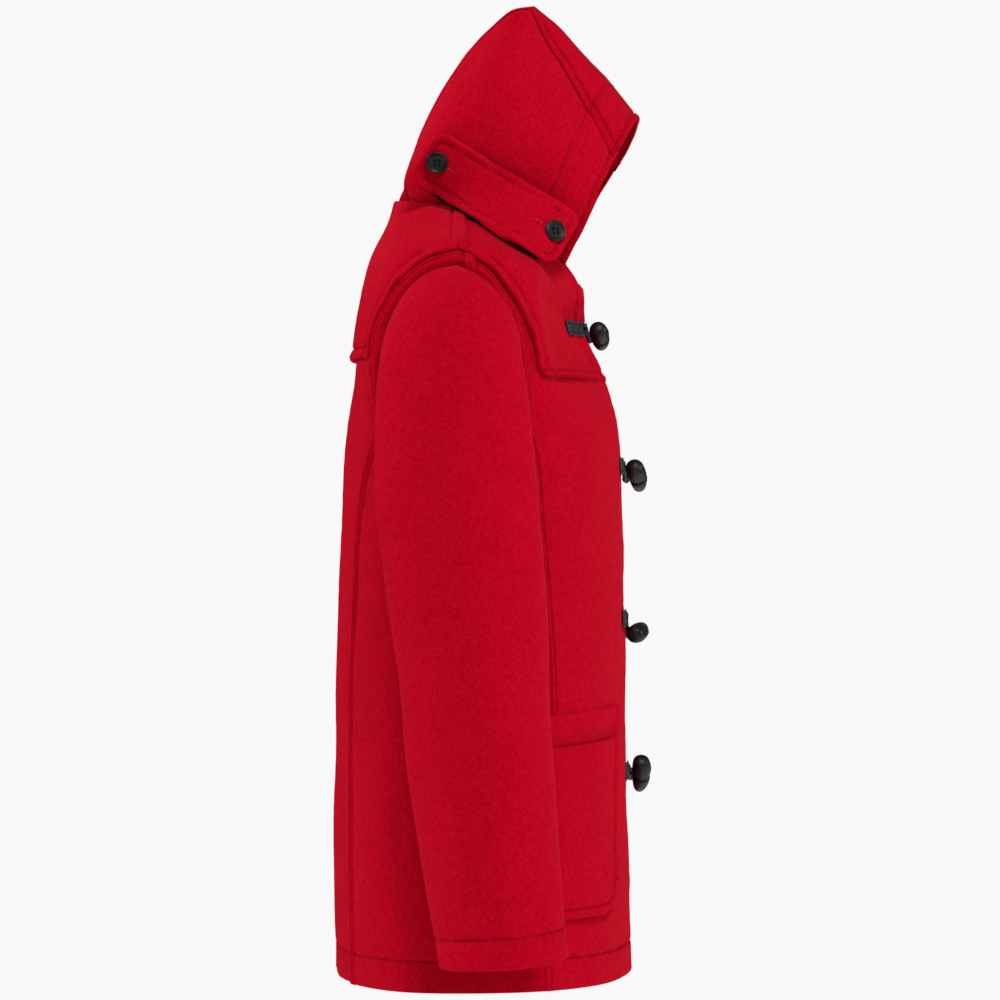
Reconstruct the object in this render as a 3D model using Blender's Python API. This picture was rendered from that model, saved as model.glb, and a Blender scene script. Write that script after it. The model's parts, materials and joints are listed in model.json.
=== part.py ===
"""Hooded duffle coat of thick felted wool, filled out as it is worn, with no wearer.

Metres. +Z is up, the front faces -Y, the wearer's right is -X.
The origin is the centre of the neck opening, level with the back neck seam.
Body points are named by a level, the height at the side of the body, and an angle round it:
0 is the centre front, 90 degrees the wearer's right side, 180 degrees the centre back.
"""
import math

import bmesh
import bpy
from mathutils import Vector
from mathutils.bvhtree import BVHTree

# ---------------------------------------------------------------- driving dimensions
WALL = 0.0026            # felted wool
GAP = 0.0003             # between pieces that meet
SEAM_INSET = 0.0002      # each panel stops this short of its seam
HEM_LEVEL = -0.705
ARMHOLE_CORNER = -0.205  # where the side seams run into the armhole
ARMHOLE_TOP = -0.057
NECK_LEVEL = -0.0125
SHOULDER_Y = 0.022       # the shoulder seam lies in this plane
YOKE_BACK_LEVEL = -0.150
YOKE_FRONT_LEVEL = -0.167
OVERLAP = 0.035          # each front passes the centre line by this much
UNDERLAP_COLUMNS = (0.022, 0.0, -0.007, -0.018, -OVERLAP)
YOKE_RIGHT_EDGE = -0.012
YOKE_EDGE_SLANT = 0.022  # and this much further from the centre at the neck
YOKE_SLANT_LEVEL = -0.075
YOKE_LEFT_EDGE = 0.045
BAND_WIDTH = 0.0085      # lapped seam round the armhole, in side view
BAND_WIDER_TOP = 0.0045  # and this much wider over the shoulder
# Across the armhole band, from the body to the sleeve: share of its width, rise.
BAND_PROFILE = [(0.0, 0.0030), (0.35, 0.0042), (0.60, 0.0016), (0.80, 0.0030), (1.0, 0.00165)]
BAND_STEP = 0.009        # the sleeve seam stands this far outside the armhole
SLEEVE_GAP = 0.0005      # between the band and the sleeve
HOOD_GAP = 0.0006        # between the neck seam and the hood
YOKE_LIFT = 0.0006       # between the doubled shoulder piece and its panel
YOKE_NECK_SETBACK = 0.0016
YOKE_SETBACK = 0.0085    # the yoke's armhole edge stops this far before the front armhole
YOKE_CORNER = 0.010      # its lower outer corner is rounded off
RISE_POWER = 1.6         # how the rings climb from the side to the centre
# The chest falls back on both sides of the buttoned strip, which lies between these x.
CHEST_FALL = 0.0277
CHEST_FALL_LENGTH = 0.05
CHEST_STRIP = (-0.002, 0.048)
CHEST_FALL_ROUND = (0.55, 0.92)      # full near the centre front, none at the armhole
CHEST_FALL_LOW = (-0.235, -0.115)    # and between these levels below and above
CHEST_FALL_HIGH = (-0.060, NECK_LEVEL)

# Finishes: linear colour and roughness.
RED_WOOL = ((0.456, 0.002, 0.014), 0.9)
DARK_HORN = ((0.018, 0.010, 0.007), 0.35)
DARK_LEATHER = ((0.026, 0.036, 0.033), 0.6)
BLACK_BUTTON = ((0.008, 0.008, 0.009), 0.35)


def table(columns, *rows):
    """Rows of numbers as dictionaries with named columns."""
    return [dict(zip(columns.split(), row)) for row in rows]


# One ring of the body a row, from the hem to the neck seam.
BODY = table(
    "level  half_width front_y  front_z  front_n back_y  back_z  back_n",
    (-0.705, 0.235, -0.1352, -0.705, 2.4, 0.1345, -0.705, 2.5),
    (-0.640, 0.229, -0.1340, -0.640, 2.4, 0.1360, -0.640, 2.5),
    (-0.550, 0.220, -0.1308, -0.550, 2.4, 0.1352, -0.550, 2.5),
    (-0.460, 0.209, -0.1297, -0.460, 2.4, 0.1343, -0.460, 2.5),
    (-0.370, 0.199, -0.1282, -0.370, 2.4, 0.1325, -0.370, 2.5),
    (-0.300, 0.198, -0.1280, -0.300, 2.4, 0.1298, -0.300, 2.6),
    (-0.250, 0.200, -0.1262, -0.250, 2.4, 0.1268, -0.250, 2.8),
    (-0.205, 0.200, -0.1222, -0.205, 2.4, 0.1225, -0.205, 3.0),
    (-0.170, 0.198, -0.1120, -0.170, 2.5, 0.1180, -0.170, 3.2),
    (-0.130, 0.196, -0.1015, -0.145, 2.6, 0.1150, -0.130, 3.2),
    (-0.095, 0.193, -0.0948, -0.130, 2.7, 0.1105, -0.097, 3.1),
    (-0.066, 0.189, -0.0914, -0.118, 2.7, 0.1040, -0.070, 2.9),
    (-0.050, 0.176, -0.0910, -0.108, 2.6, 0.0980, -0.052, 2.7),
    (-0.037, 0.143, -0.0915, -0.099, 2.4, 0.0910, -0.035, 2.5),
    (-0.024, 0.106, -0.0920, -0.090, 2.2, 0.0845, -0.018, 2.3),
    (-0.0125, 0.074, -0.0912, -0.081, 2.0, 0.0790, -0.001, 2.1),
)

# Side seams: where the side panel ends towards the front and the back.
SIDE_SEAMS = table(
    "level  front_y  back_y",
    (-0.705, -0.0620, 0.1165),
    (-0.580, -0.0655, 0.1190),
    (-0.450, -0.0665, 0.1190),
    (-0.364, -0.0613, 0.1158),
    (-0.294, -0.0550, 0.1122),
    (-0.240, -0.0500, 0.1034),
    (-0.205, -0.0405, 0.0905),
)

# The armhole in side view, as three arcs that meet at the side seams and the shoulder seam.
ARMHOLE_FRONT = [(-0.205, -0.0405), (-0.170, -0.0402), (-0.140, -0.0375), (-0.103, -0.0279),
                 (-0.084, -0.0191), (-0.0675, -0.0033), (-0.057, 0.0220)]
ARMHOLE_BACK = [(-0.205, 0.0905), (-0.187, 0.0954), (-0.158, 0.0995), (-0.126, 0.0950),
                (-0.102, 0.0843), (-0.081, 0.0711), (-0.0645, 0.0500), (-0.057, 0.0220)]
ARMHOLE_UNDER = [(-0.205, -0.0405), (-0.228, -0.0310), (-0.243, -0.0080), (-0.249, 0.0220),
                 (-0.246, 0.0520), (-0.233, 0.0770), (-0.205, 0.0905)]

# Sleeve rings: outermost and innermost point in front view, then middle and half depth in side view.
# drop is how much lower the back of the ring is than its middle.
SLEEVE = table(
    "outer_x  outer_z  inner_x  inner_z  middle_y  half_depth  drop",
    (-0.2150, -0.0745, -0.2130, -0.2385, 0.0285, 0.0615, 0.000),
    (-0.2390, -0.0920, -0.2138, -0.2420, 0.0283, 0.0630, 0.000),
    (-0.2600, -0.1250, -0.2146, -0.2460, 0.0276, 0.0655, 0.000),
    (-0.2770, -0.1700, -0.2152, -0.2510, 0.0262, 0.0680, 0.000),
    (-0.2900, -0.2250, -0.2156, -0.2610, 0.0242, 0.0702, 0.000),
    (-0.3010, -0.2850, -0.2158, -0.2900, 0.0206, 0.0713, 0.000),
    (-0.3100, -0.3450, -0.2162, -0.3450, 0.0157, 0.0694, 0.001),
    (-0.3180, -0.4100, -0.2175, -0.4100, 0.0099, 0.0667, 0.002),
    (-0.3260, -0.4800, -0.2220, -0.4800, 0.0033, 0.0641, 0.002),
    (-0.3330, -0.5500, -0.2295, -0.5500, -0.0040, 0.0612, 0.003),
    (-0.3390, -0.6180, -0.2380, -0.6160, -0.0110, 0.0581, 0.003),
    (-0.3430, -0.6740, -0.2460, -0.6700, -0.0178, 0.0547, 0.004),
)

# Hood: the seam between side and centre strip, from the neck up over the peak to the face.
HOOD_SEAM = table(
    "x  y  z",
    (-0.0450, 0.0700, -0.0020),
    (-0.0490, 0.0722, 0.0120),
    (-0.0520, 0.0660, 0.0329),
    (-0.0560, 0.0514, 0.0689),
    (-0.0580, 0.0314, 0.1052),
    (-0.0550, 0.0078, 0.1376),
    (-0.0480, -0.0234, 0.1668),
    (-0.0420, -0.0430, 0.1722),
    (-0.0480, -0.0566, 0.1423),
    (-0.0530, -0.0738, 0.1146),
    (-0.0580, -0.0918, 0.0823),
    (-0.0620, -0.1053, 0.0593),
    (-0.0670, -0.1182, 0.0322),
)
# The middle of the centre strip, at the same stations.
HOOD_CROWN = table(
    "y  z",
    (0.0788, -0.0010),
    (0.0730, 0.0120),
    (0.0662, 0.0333),
    (0.0516, 0.0693),
    (0.0316, 0.1057),
    (0.0078, 0.1382),
    (-0.0232, 0.1694),
    (-0.0460, 0.1772),
    (-0.0700, 0.1568),
    (-0.0905, 0.1350),
    (-0.1120, 0.1120),
    (-0.1272, 0.0935),
    (-0.1415, 0.0745),
)
PEAK_STATION = 7
# The face edge of the hood side, from the throat up to the centre strip.
HOOD_FACE = table(
    "x  y  z",
    (-0.0380, -0.0726, -0.0690),
    (-0.0500, -0.0755, -0.0560),
    (-0.0640, -0.0850, -0.0370),
    (-0.0730, -0.0940, -0.0190),
    (-0.0770, -0.1030, 0.0020),
    (-0.0740, -0.1114, 0.0180),
    (-0.0670, -0.1182, 0.0322),
)
HOOD_SWELL = 0.034       # how far the hood side stands out between its edges

# Toggles down the front: middle of the toggle, the way its thin end points, the height of its patches
# and how far its cords rise off the fronts to reach it.
TOGGLES = table(
    "x  y  z  to_x  to_y  to_z  patch_z  cord_rise",
    (0.012, -0.1069, -0.1260, 0.93, -0.10, -0.36, -0.1200, 0.0),
    (0.012, -0.1415, -0.2545, 0.86, -0.16, -0.49, -0.2452, 0.0010),
    (0.012, -0.1428, -0.3975, 0.97, -0.20, 0.10, -0.3841, 0.0),
    (0.012, -0.1447, -0.5290, 0.75, 0.02, -0.66, -0.5230, 0.0014),
)
TOGGLE_LENGTH = 0.046
# Turned profile of a horn toggle: place along its length, radius.
TOGGLE_PROFILE = [(-0.50, 0.0030), (-0.46, 0.0062), (-0.36, 0.0084), (-0.16, 0.0088), (0.08, 0.0082),
                  (0.30, 0.0068), (0.44, 0.0050), (0.50, 0.0026)]
PATCH_LENGTH = 0.046
PATCH_HEIGHT = 0.014
PATCH_COLUMNS = 5
PATCH_WALL = 0.0018
PATCH_LIFT = 0.0009
LEFT_PATCH_LIFT = 0.0004   # the left front lies further in
RIGHT_PATCH_START = -0.014
LEFT_PATCH_START = 0.041
CORD_RADIUS = 0.0014
CORD_CLEARANCE = 0.0005   # for the sag between the fronts' points
# Loop: place across the front, height from the patch's middle, rise over its resting height.
LOOP_ROUTE = [(-0.0133, 0.0040, 0.0), (-0.0095, 0.0040, 0.0), (0.005, 0.0042, 0.0), (0.020, 0.0042, 0.0),
              (0.029, 0.0034, 0.0026), (0.0325, 0.0, 0.0034),
              (0.029, -0.0034, 0.0026), (0.020, -0.0042, 0.0), (0.005, -0.0042, 0.0),
              (-0.0095, -0.0040, 0.0), (-0.0133, -0.0040, 0.0)]
SHORT_CORD_ROUTE = [(0.0401, 0.0, 0.0), (0.0350, 0.0, 0.0), (0.0300, 0.0, 0.0), (0.022, 0.0, 0.0002),
                    (0.015, 0.0, 0.0010)]
LOOP_REACH = (-0.009, 0.012)       # where a loop leaves its patch's height and has its toggle's
SHORT_CORD_REACH = (0.040, 0.030)

# The throat tab, on the hood side: the ends of its middle line and its half widths in side view.
TAB_BACK = (0.0533, 0.0368)
TAB_FRONT = (-0.0785, -0.0410)
TAB_HALF_WIDTH_BACK = 0.0248
TAB_HALF_WIDTH_FRONT = 0.0283
TAB_CORNER = 0.013
TAB_WALL = 0.0034
TAB_LIFT = 0.0015
TAB_REACH = 0.006   # its lower edge clears whatever lies this near
BUTTON_FROM_END = 0.0132
BUTTON_RADIUS = 0.0095
BUTTON_WALL = 0.0032
BUTTON_EDGE = 0.0012     # its edge starts this far above its seat
TAB_BUTTON_LIFT = 0.0009
HOOD_BUTTON_LIFT = 0.0012

# Patch pockets: a row for the mouth and one for the bottom; the back edge is near the side.
POCKET = table(
    "front_level  side_level  front_x  back_y",
    (-0.459, -0.470, -0.100, -0.006),
    (-0.643, -0.646, -0.134, -0.012),
)
POCKET_CORNER = 0.020
POCKET_LIFT = 0.0009
POCKET_WALL = 0.0030

ROWS_LOW = 10            # hem to the armhole corner
ROWS_ARM = 8             # armhole corner to the shoulder point
ROWS_SHOULDER = 4        # shoulder point to the neck
COLUMNS_UNDER = 8        # across the side panel
YOKE_COLUMNS = 10        # across a front, as far as its yoke goes
BACK_COLUMNS = 14


# ---------------------------------------------------------------- curves and surfaces
def smooth_table(rows, key, column, at):
    """Value of a column at a place along the key, on a smooth curve through the rows."""
    count = len(rows)
    low = 0
    while low < count - 2 and at > rows[low + 1][key]:
        low += 1
    k0, k1 = rows[low][key], rows[low + 1][key]
    v0, v1 = rows[low][column], rows[low + 1][column]

    def slope(i):
        before, after = rows[max(i - 1, 0)], rows[min(i + 1, count - 1)]
        return (after[column] - before[column]) / (after[key] - before[key])

    span = k1 - k0
    t = (at - k0) / span
    return ((2 * t**3 - 3 * t**2 + 1) * v0 + (t**3 - 2 * t**2 + t) * span * slope(low)
            + (3 * t**2 - 2 * t**3) * v1 + (t**3 - t**2) * span * slope(low + 1))


def smooth_points(points, count):
    """count + 1 points, evenly spread by length, on a smooth curve through the points."""
    points = [Vector(p) for p in points]
    last = len(points) - 1
    fine = []
    for i in range(last):
        p0, p1, p2, p3 = points[max(i - 1, 0)], points[i], points[i + 1], points[min(i + 2, last)]
        for step in range(16):
            t = step / 16
            fine.append(0.5 * (2 * p1 + (p2 - p0) * t + (2 * p0 - 5 * p1 + 4 * p2 - p3) * t**2
                               + (3 * p1 - p0 - 3 * p2 + p3) * t**3))
    fine.append(points[-1])
    lengths = [0.0]
    for a, b in zip(fine, fine[1:]):
        lengths.append(lengths[-1] + (b - a).length)
    result = []
    at = 0
    for k in range(count + 1):
        target = lengths[-1] * k / count
        while at < len(fine) - 2 and lengths[at + 1] < target:
            at += 1
        part = (target - lengths[at]) / (lengths[at + 1] - lengths[at])
        result.append(fine[at].lerp(fine[at + 1], min(max(part, 0.0), 1.0)))
    return result


def ring(level):
    return {c: smooth_table(BODY, "level", c, level) for c in BODY[0] if c != "level"}


def side_name(angle):
    return "front" if math.cos(angle) > 0 else "back"


def step_up(value, low, high):
    """0 before low, 1 after high, and smooth between them."""
    t = min(max((value - low) / (high - low), 0.0), 1.0)
    return t * t * (3 - 2 * t)


def chest_fall(level, x, along):
    """How far back the front lies beside the buttoned strip; along is 1 at the centre front."""
    beside = max(CHEST_STRIP[0] - x, x - CHEST_STRIP[1], 0.0)
    spread_out = 1 - math.exp(-beside / CHEST_FALL_LENGTH)
    inside = step_up(along, *CHEST_FALL_ROUND)
    high = step_up(level, *CHEST_FALL_LOW) * (1 - step_up(level, *CHEST_FALL_HIGH))
    return CHEST_FALL * spread_out * inside * high


def body_point(level, angle):
    """A point of the coat's outer surface."""
    r = ring(level)
    side = side_name(angle)
    power = 2 / r[side + "_n"]
    across = math.copysign(abs(math.sin(angle)) ** power, math.sin(angle))
    along = abs(math.cos(angle)) ** power
    x = -r["half_width"] * across
    fall = chest_fall(level, x, along) if side == "front" else 0.0
    return Vector((x, SHOULDER_Y + (r[side + "_y"] - SHOULDER_Y) * along + fall,
                   level + (r[side + "_z"] - level) * along**RISE_POWER))


def body_normal(level, angle):
    step = 0.02
    lower, upper = max(level - 0.004, HEM_LEVEL), min(level + 0.004, NECK_LEVEL)
    round_body = body_point(level, angle + step) - body_point(level, angle - step)
    up_body = body_point(upper, angle) - body_point(lower, angle)
    return up_body.cross(round_body).normalized()


def angle_at_y(level, y):
    """Angle on the wearer's right side at which the ring reaches y."""
    r = ring(level)
    side = "front" if y < SHOULDER_Y else "back"
    along = (y - SHOULDER_Y) / (r[side + "_y"] - SHOULDER_Y)
    cosine = min(max(along, 0.0), 1.0) ** (r[side + "_n"] / 2)
    return math.acos(cosine if side == "front" else -cosine)


def angle_at_x(level, x):
    """Angle near the centre front at which the ring reaches x."""
    r = ring(level)
    return -math.copysign(math.asin(abs(x / r["half_width"]) ** (r["front_n"] / 2)), x)


def spread(first, last, count):
    return [first + (last - first) * i / count for i in range(count + 1)]


# ---------------------------------------------------------------- meshes
def finish_object(name, mesh, finish):
    colour, roughness = finish
    material = bpy.data.materials.new(name)
    material.use_nodes = True
    shader = material.node_tree.nodes["Principled BSDF"]
    shader.inputs["Base Color"].default_value = (*colour, 1.0)
    shader.inputs["Roughness"].default_value = roughness
    mesh.materials.append(material)
    mesh.shade_smooth()
    mesh.set_sharp_from_angle(angle=math.radians(40))
    item = bpy.data.objects.new(name, mesh)
    bpy.context.scene.collection.objects.link(item)
    return item


def closed_mesh(name, faces_of_points, finish):
    """A closed body from triangles and quads given by their points."""
    shape = bmesh.new()
    known = {}
    for face in faces_of_points:
        corners = []
        for point in face:
            key = (round(point.x, 7), round(point.y, 7), round(point.z, 7))
            if key not in known:
                known[key] = shape.verts.new(point)
            if known[key] not in corners:
                corners.append(known[key])
        if len(corners) > 2:
            shape.faces.new(corners)
    if shape.calc_volume(signed=True) < 0:
        bmesh.ops.reverse_faces(shape, faces=shape.faces)
    mesh = bpy.data.meshes.new(name)
    shape.to_mesh(mesh)
    shape.free()
    return finish_object(name, mesh, finish)


def wall_faces(outer, inner, wrap=False):
    """Faces of a wall between two grids of points with the same rows and columns."""
    rows, columns = len(outer), len(outer[0])
    faces = []
    for i in range(rows - 1):
        for j in range(columns if wrap else columns - 1):
            k = (j + 1) % columns
            a, b, c, d = outer[i][j], outer[i][k], outer[i + 1][k], outer[i + 1][j]
            faces += [(a, b, c), (a, c, d)]
            a, b, c, d = inner[i][j], inner[i][k], inner[i + 1][k], inner[i + 1][j]
            faces += [(c, b, a), (d, c, a)]
    for j in range(columns if wrap else columns - 1):
        k = (j + 1) % columns
        faces += [(inner[0][j], inner[0][k], outer[0][k], outer[0][j]),
                  (outer[-1][j], outer[-1][k], inner[-1][k], inner[-1][j])]
    if not wrap:
        for i in range(rows - 1):
            faces += [(outer[i][0], outer[i + 1][0], inner[i + 1][0], inner[i][0]),
                      (inner[i][-1], inner[i + 1][-1], outer[i + 1][-1], outer[i][-1])]
    return faces


def pull_in(grid, amount, sides=True):
    """The grid with its edge rows, and its edge columns too, moved inwards by a seam's half gap."""
    grid = [[p.copy() for p in row] for row in grid]
    for edge, beside in ((0, 1), (-1, -2)):
        for p, q in zip(grid[edge], grid[beside]):
            p += (q - p).normalized() * amount
        if sides:
            for row in grid:
                row[edge] += (row[beside] - row[edge]).normalized() * amount
    return grid


def panel_points(places, lift):
    return [[body_point(*place) + body_normal(*place) * lift for place in row] for row in places]


def body_panel(name, places, lift=0.0, wall=WALL):
    outer = pull_in(panel_points(places, lift), SEAM_INSET)
    inner = pull_in(panel_points(places, lift - wall), SEAM_INSET)
    return closed_mesh(name, wall_faces(outer, inner), RED_WOOL)


def mirrored(grid):
    return [[Vector((-p.x, p.y, p.z)) for p in row] for row in grid]


# ---------------------------------------------------------------- the armhole
FRONT_ARC = smooth_points([(a, b, 0) for a, b in ARMHOLE_FRONT], ROWS_ARM)
BACK_ARC = smooth_points([(a, b, 0) for a, b in ARMHOLE_BACK], ROWS_ARM)
UNDER_ARC = smooth_points([(a, b, 0) for a, b in ARMHOLE_UNDER], COLUMNS_UNDER)
ARM_LOOP = ([(p.x, p.y) for p in reversed(FRONT_ARC)]
            + [(p.x, p.y) for p in UNDER_ARC[1:]]
            + [(p.x, p.y) for p in BACK_ARC[1:-1]])
LOW_LEVELS = spread(HEM_LEVEL, ARMHOLE_CORNER, ROWS_LOW)
SHOULDER_LEVELS = spread(ARMHOLE_TOP, NECK_LEVEL, ROWS_SHOULDER)


def edge_places(part):
    """Level and angle of each row's end: up the side seam, round the armhole, up the shoulder seam."""
    arc = FRONT_ARC if part == "front" else BACK_ARC
    places = [(level, angle_at_y(level, smooth_table(SIDE_SEAMS, "level", part + "_y", level)))
              for level in LOW_LEVELS]
    places += [(p.x, angle_at_y(p.x, p.y)) for p in arc[1:-1]]
    places += [(level, math.pi / 2) for level in SHOULDER_LEVELS]
    return places


# ---------------------------------------------------------------- body panels and yoke
def back_places(columns):
    rows = []
    for level, edge in edge_places("back"):
        rows.append([(level, angle) for angle in spread(edge, 2 * math.pi - edge, columns)])
    return rows


def yoke_right_edge(level):
    return YOKE_RIGHT_EDGE - YOKE_EDGE_SLANT * step_up(level, YOKE_SLANT_LEVEL, NECK_LEVEL)


def yoke_left_edge(_level):
    return YOKE_LEFT_EDGE


def front_places(main_columns, yoke_edge, sign):
    """Rows of one front: the part under the yoke, up to the place that yoke_edge gives for a level."""
    rows = []
    for level, edge in edge_places("front"):
        yoke_end = angle_at_x(level, yoke_edge(level))
        rows.append([(level, angle) for angle in spread(sign * edge, yoke_end, main_columns)])
    return rows


def flat_flap(rows_of_points, steps):
    """The right front goes straight on past the centre line."""
    for row in rows_of_points:
        centre = row[-1]
        for x in steps:
            row.append(Vector((x, centre.y, centre.z)))
    return rows_of_points


def clear_scene():
    for item in list(bpy.data.objects):
        bpy.data.objects.remove(item, do_unlink=True)


def yoke_rows(places, lowest):
    """The rows above the yoke's lower edge, with a first row exactly on it."""
    above = [row for row in places if row[0][0] > lowest + 0.004]
    below = [row for row in places if row[0][0] <= lowest + 0.004][-1]
    share = (lowest - below[0][0]) / (above[0][0][0] - below[0][0])
    edge = [(a[0] + (b[0] - a[0]) * share, a[1] + (b[1] - a[1]) * share)
            for a, b in zip(below, above[0])]
    neck = [(level - YOKE_NECK_SETBACK, angle) for level, angle in above[-1]]
    return [edge] + above[:-1] + [neck]


def build_body():
    back = back_places(BACK_COLUMNS)
    body_panel("back", back)
    yoke_panel("yoke_back", yoke_rows(back, YOKE_BACK_LEVEL))

    right = front_places(YOKE_COLUMNS, yoke_right_edge, 1)
    yoke = yoke_rows(right, YOKE_FRONT_LEVEL)
    yoke_panel("yoke_front_right", yoke, yoke_setbacks(yoke))
    for row in right:
        level, yoke_end = row[-1]
        row += [(level, yoke_end * share) for share in (0.6, 0.3, 0.0)]
    outer = flat_flap(panel_points(right, 0.0), (OVERLAP / 2, OVERLAP))
    inner = flat_flap(panel_points(right, -WALL), (OVERLAP / 2, OVERLAP))
    closed_mesh("front_right", wall_faces(pull_in(outer, SEAM_INSET), pull_in(inner, SEAM_INSET)),
                RED_WOOL)

    left = front_places(YOKE_COLUMNS, yoke_left_edge, -1)
    yoke = yoke_rows(left, YOKE_FRONT_LEVEL)
    yoke_panel("yoke_front_left", yoke, yoke_setbacks(yoke))
    for row in left:
        level = row[0][0]
        row += [(level, angle_at_x(level, x)) for x in UNDERLAP_COLUMNS]
    under = under_lifts(len(left[0]))
    outer = [[body_point(*place) + body_normal(*place) * under[j] for j, place in enumerate(row)]
             for row in left]
    inner = [[body_point(*place) + body_normal(*place) * (under[j] - WALL)
              for j, place in enumerate(row)] for row in left]
    closed_mesh("front_left", wall_faces(pull_in(outer, SEAM_INSET), pull_in(inner, SEAM_INSET)),
                RED_WOOL)

    side = side_places()
    outer = pull_in(panel_points(side, 0.0), SEAM_INSET)
    inner = pull_in(panel_points(side, -WALL), SEAM_INSET)
    closed_mesh("side_right", wall_faces(outer, inner), RED_WOOL)
    closed_mesh("side_left", wall_faces(mirrored(outer), mirrored(inner)), RED_WOOL)


def under_lifts(columns):
    """How far the left front lies inside the right one, column by column from the side seam."""
    sunk = -(WALL + 2 * GAP)
    fully = len(UNDERLAP_COLUMNS) + 1
    return [0.0] * (columns - fully - 1) + [sunk * 0.5] + [sunk] * fully


def yoke_panel(name, places, setbacks=None):
    """A doubled shoulder piece made from its panel's own points, moved out."""
    grids = []
    for lift in (YOKE_LIFT + WALL, YOKE_LIFT):
        grid = panel_points(places, lift)
        for row, setback in zip(grid, setbacks or []):
            row[0] += (row[1] - row[0]).normalized() * setback
        grids.append(pull_in(grid, SEAM_INSET))
    return closed_mesh(name, wall_faces(*grids), RED_WOOL)


def yoke_setbacks(places):
    """The front yoke leaves the armhole as it goes down, and its lower corner is rounded."""
    setbacks = []
    for row in places:
        down = (ARMHOLE_TOP - row[0][0]) / (ARMHOLE_TOP - YOKE_FRONT_LEVEL)
        setbacks.append(YOKE_SETBACK * min(max(down, 0.0) * 1.6, 1.0))
    setbacks[0] += YOKE_CORNER
    return setbacks


def side_places():
    rows = [[] for _ in range(ROWS_LOW + 1)]
    for top in UNDER_ARC:
        front = smooth_table(SIDE_SEAMS, "level", "front_y", min(top.x, ARMHOLE_CORNER))
        back = smooth_table(SIDE_SEAMS, "level", "back_y", min(top.x, ARMHOLE_CORNER))
        share = (top.y - front) / (back - front)
        for i, level in enumerate(spread(HEM_LEVEL, top.x, ROWS_LOW)):
            front = smooth_table(SIDE_SEAMS, "level", "front_y", level)
            back = smooth_table(SIDE_SEAMS, "level", "back_y", level)
            rows[i].append((level, angle_at_y(level, front + (back - front) * share)))
    return rows


# ---------------------------------------------------------------- armhole bands and sleeves
def armhole_rings():
    """Armhole edge and sleeve seam of the right side, point by point round the arm."""
    edge, normals = [], []
    for level, y in ARM_LOOP:
        angle = angle_at_y(level, y)
        edge.append(body_point(level, angle))
        normals.append(body_normal(level, angle))
    middle = sum(edge, Vector()) / len(edge)
    seam = []
    for point in edge:
        inward = Vector((0.0, middle.y - point.y, middle.z - point.z)).normalized()
        width = BAND_WIDTH + BAND_WIDER_TOP * max(0.0, -inward.z)
        seam.append(point + inward * width + Vector((-BAND_STEP, 0.0, 0.0)))
    return edge, normals, seam


def ring_normals(loop, axis):
    """Outward direction at each point of a closed loop that is square to the loop and the axis."""
    count = len(loop)
    return [axis.cross(loop[(i + 1) % count] - loop[i - 1]).normalized() for i in range(count)]


def build_arms():
    edge, normals, seam = armhole_rings()
    outwards = Vector((-1.0, 0.0, 0.0))
    away = ring_normals(seam, outwards)
    if away[0].z < 0:
        away = [-a for a in away]
    slope = [(n + a).normalized() for n, a in zip(normals, away)]
    band_outer, band_inner = [], []
    for share, rise in BAND_PROFILE:
        row_out, row_in = [], []
        for e, s, n, m in zip(edge, seam, normals, slope):
            shift = (s - e).normalized() * (SEAM_INSET if share < 0.5 else -SEAM_INSET)
            base = e.lerp(s, share) + shift
            direction = n.lerp(m, share).normalized()
            row_out.append(base + direction * rise)
            row_in.append(base - direction * WALL)
        band_outer.append(row_out)
        band_inner.append(row_in)
    faces = wall_faces(band_outer, band_inner, wrap=True)
    closed_mesh("armhole_band_right", faces, RED_WOOL)
    closed_mesh("armhole_band_left", [[Vector((-p.x, p.y, p.z)) for p in f] for f in faces],
                RED_WOOL)

    outer, inner = sleeve_grids(seam, slope)
    closed_mesh("sleeve_right", wall_faces(outer, inner, wrap=True), RED_WOOL)
    closed_mesh("sleeve_left", wall_faces(mirrored(outer), mirrored(inner), wrap=True), RED_WOOL)


def sleeve_grids(seam, slope):
    middle = sum(seam, Vector()) / len(seam)
    high = max(p.z for p in seam) - min(p.z for p in seam)
    wide = max(p.y for p in seam) - min(p.y for p in seam)
    turns = [math.atan2((middle.y - p.y) / wide, (p.z - middle.z) / high) for p in seam]
    grid = [[p + Vector((-SLEEVE_GAP, 0.0, 0.0)) for p in seam]]
    for s in SLEEVE:
        top = Vector((s["outer_x"], s["middle_y"], s["outer_z"]))
        under = Vector((s["inner_x"], s["middle_y"], s["inner_z"]))
        centre, arm = (top + under) / 2, (top - under) / 2
        grid.append([centre + arm * math.cos(t)
                     + Vector((0.0, -s["half_depth"] * math.sin(t), s["drop"] * math.sin(t)))
                     for t in turns])
    normals = grid_normals(grid, wrap=True)
    normals[0] = slope
    inner = [[p - n * WALL for p, n in zip(row, ns)] for row, ns in zip(grid, normals)]
    return grid, inner


def grid_normals(grid, wrap=False):
    rows, columns = len(grid), len(grid[0])
    centre = sum((sum(row, Vector()) for row in grid), Vector()) / (rows * columns)
    normals = []
    for i in range(rows):
        line = []
        for j in range(columns):
            left = grid[i][j - 1] if wrap or j > 0 else grid[i][0]
            right = grid[i][(j + 1) % columns] if wrap else grid[i][min(j + 1, columns - 1)]
            below, above = grid[max(i - 1, 0)][j], grid[min(i + 1, rows - 1)][j]
            line.append((right - left).cross(above - below).normalized())
        normals.append(line)
    middle_row = grid[rows // 2]
    row_centre = sum(middle_row, Vector()) / columns
    facing = sum(n.dot(p - row_centre) for n, p in zip(normals[rows // 2], middle_row))
    if not wrap:
        facing = sum(n.dot(p - centre) for row, ns in zip(grid, normals) for p, n in zip(row, ns))
    if facing < 0:
        normals = [[-n for n in line] for line in normals]
    return normals


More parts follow.
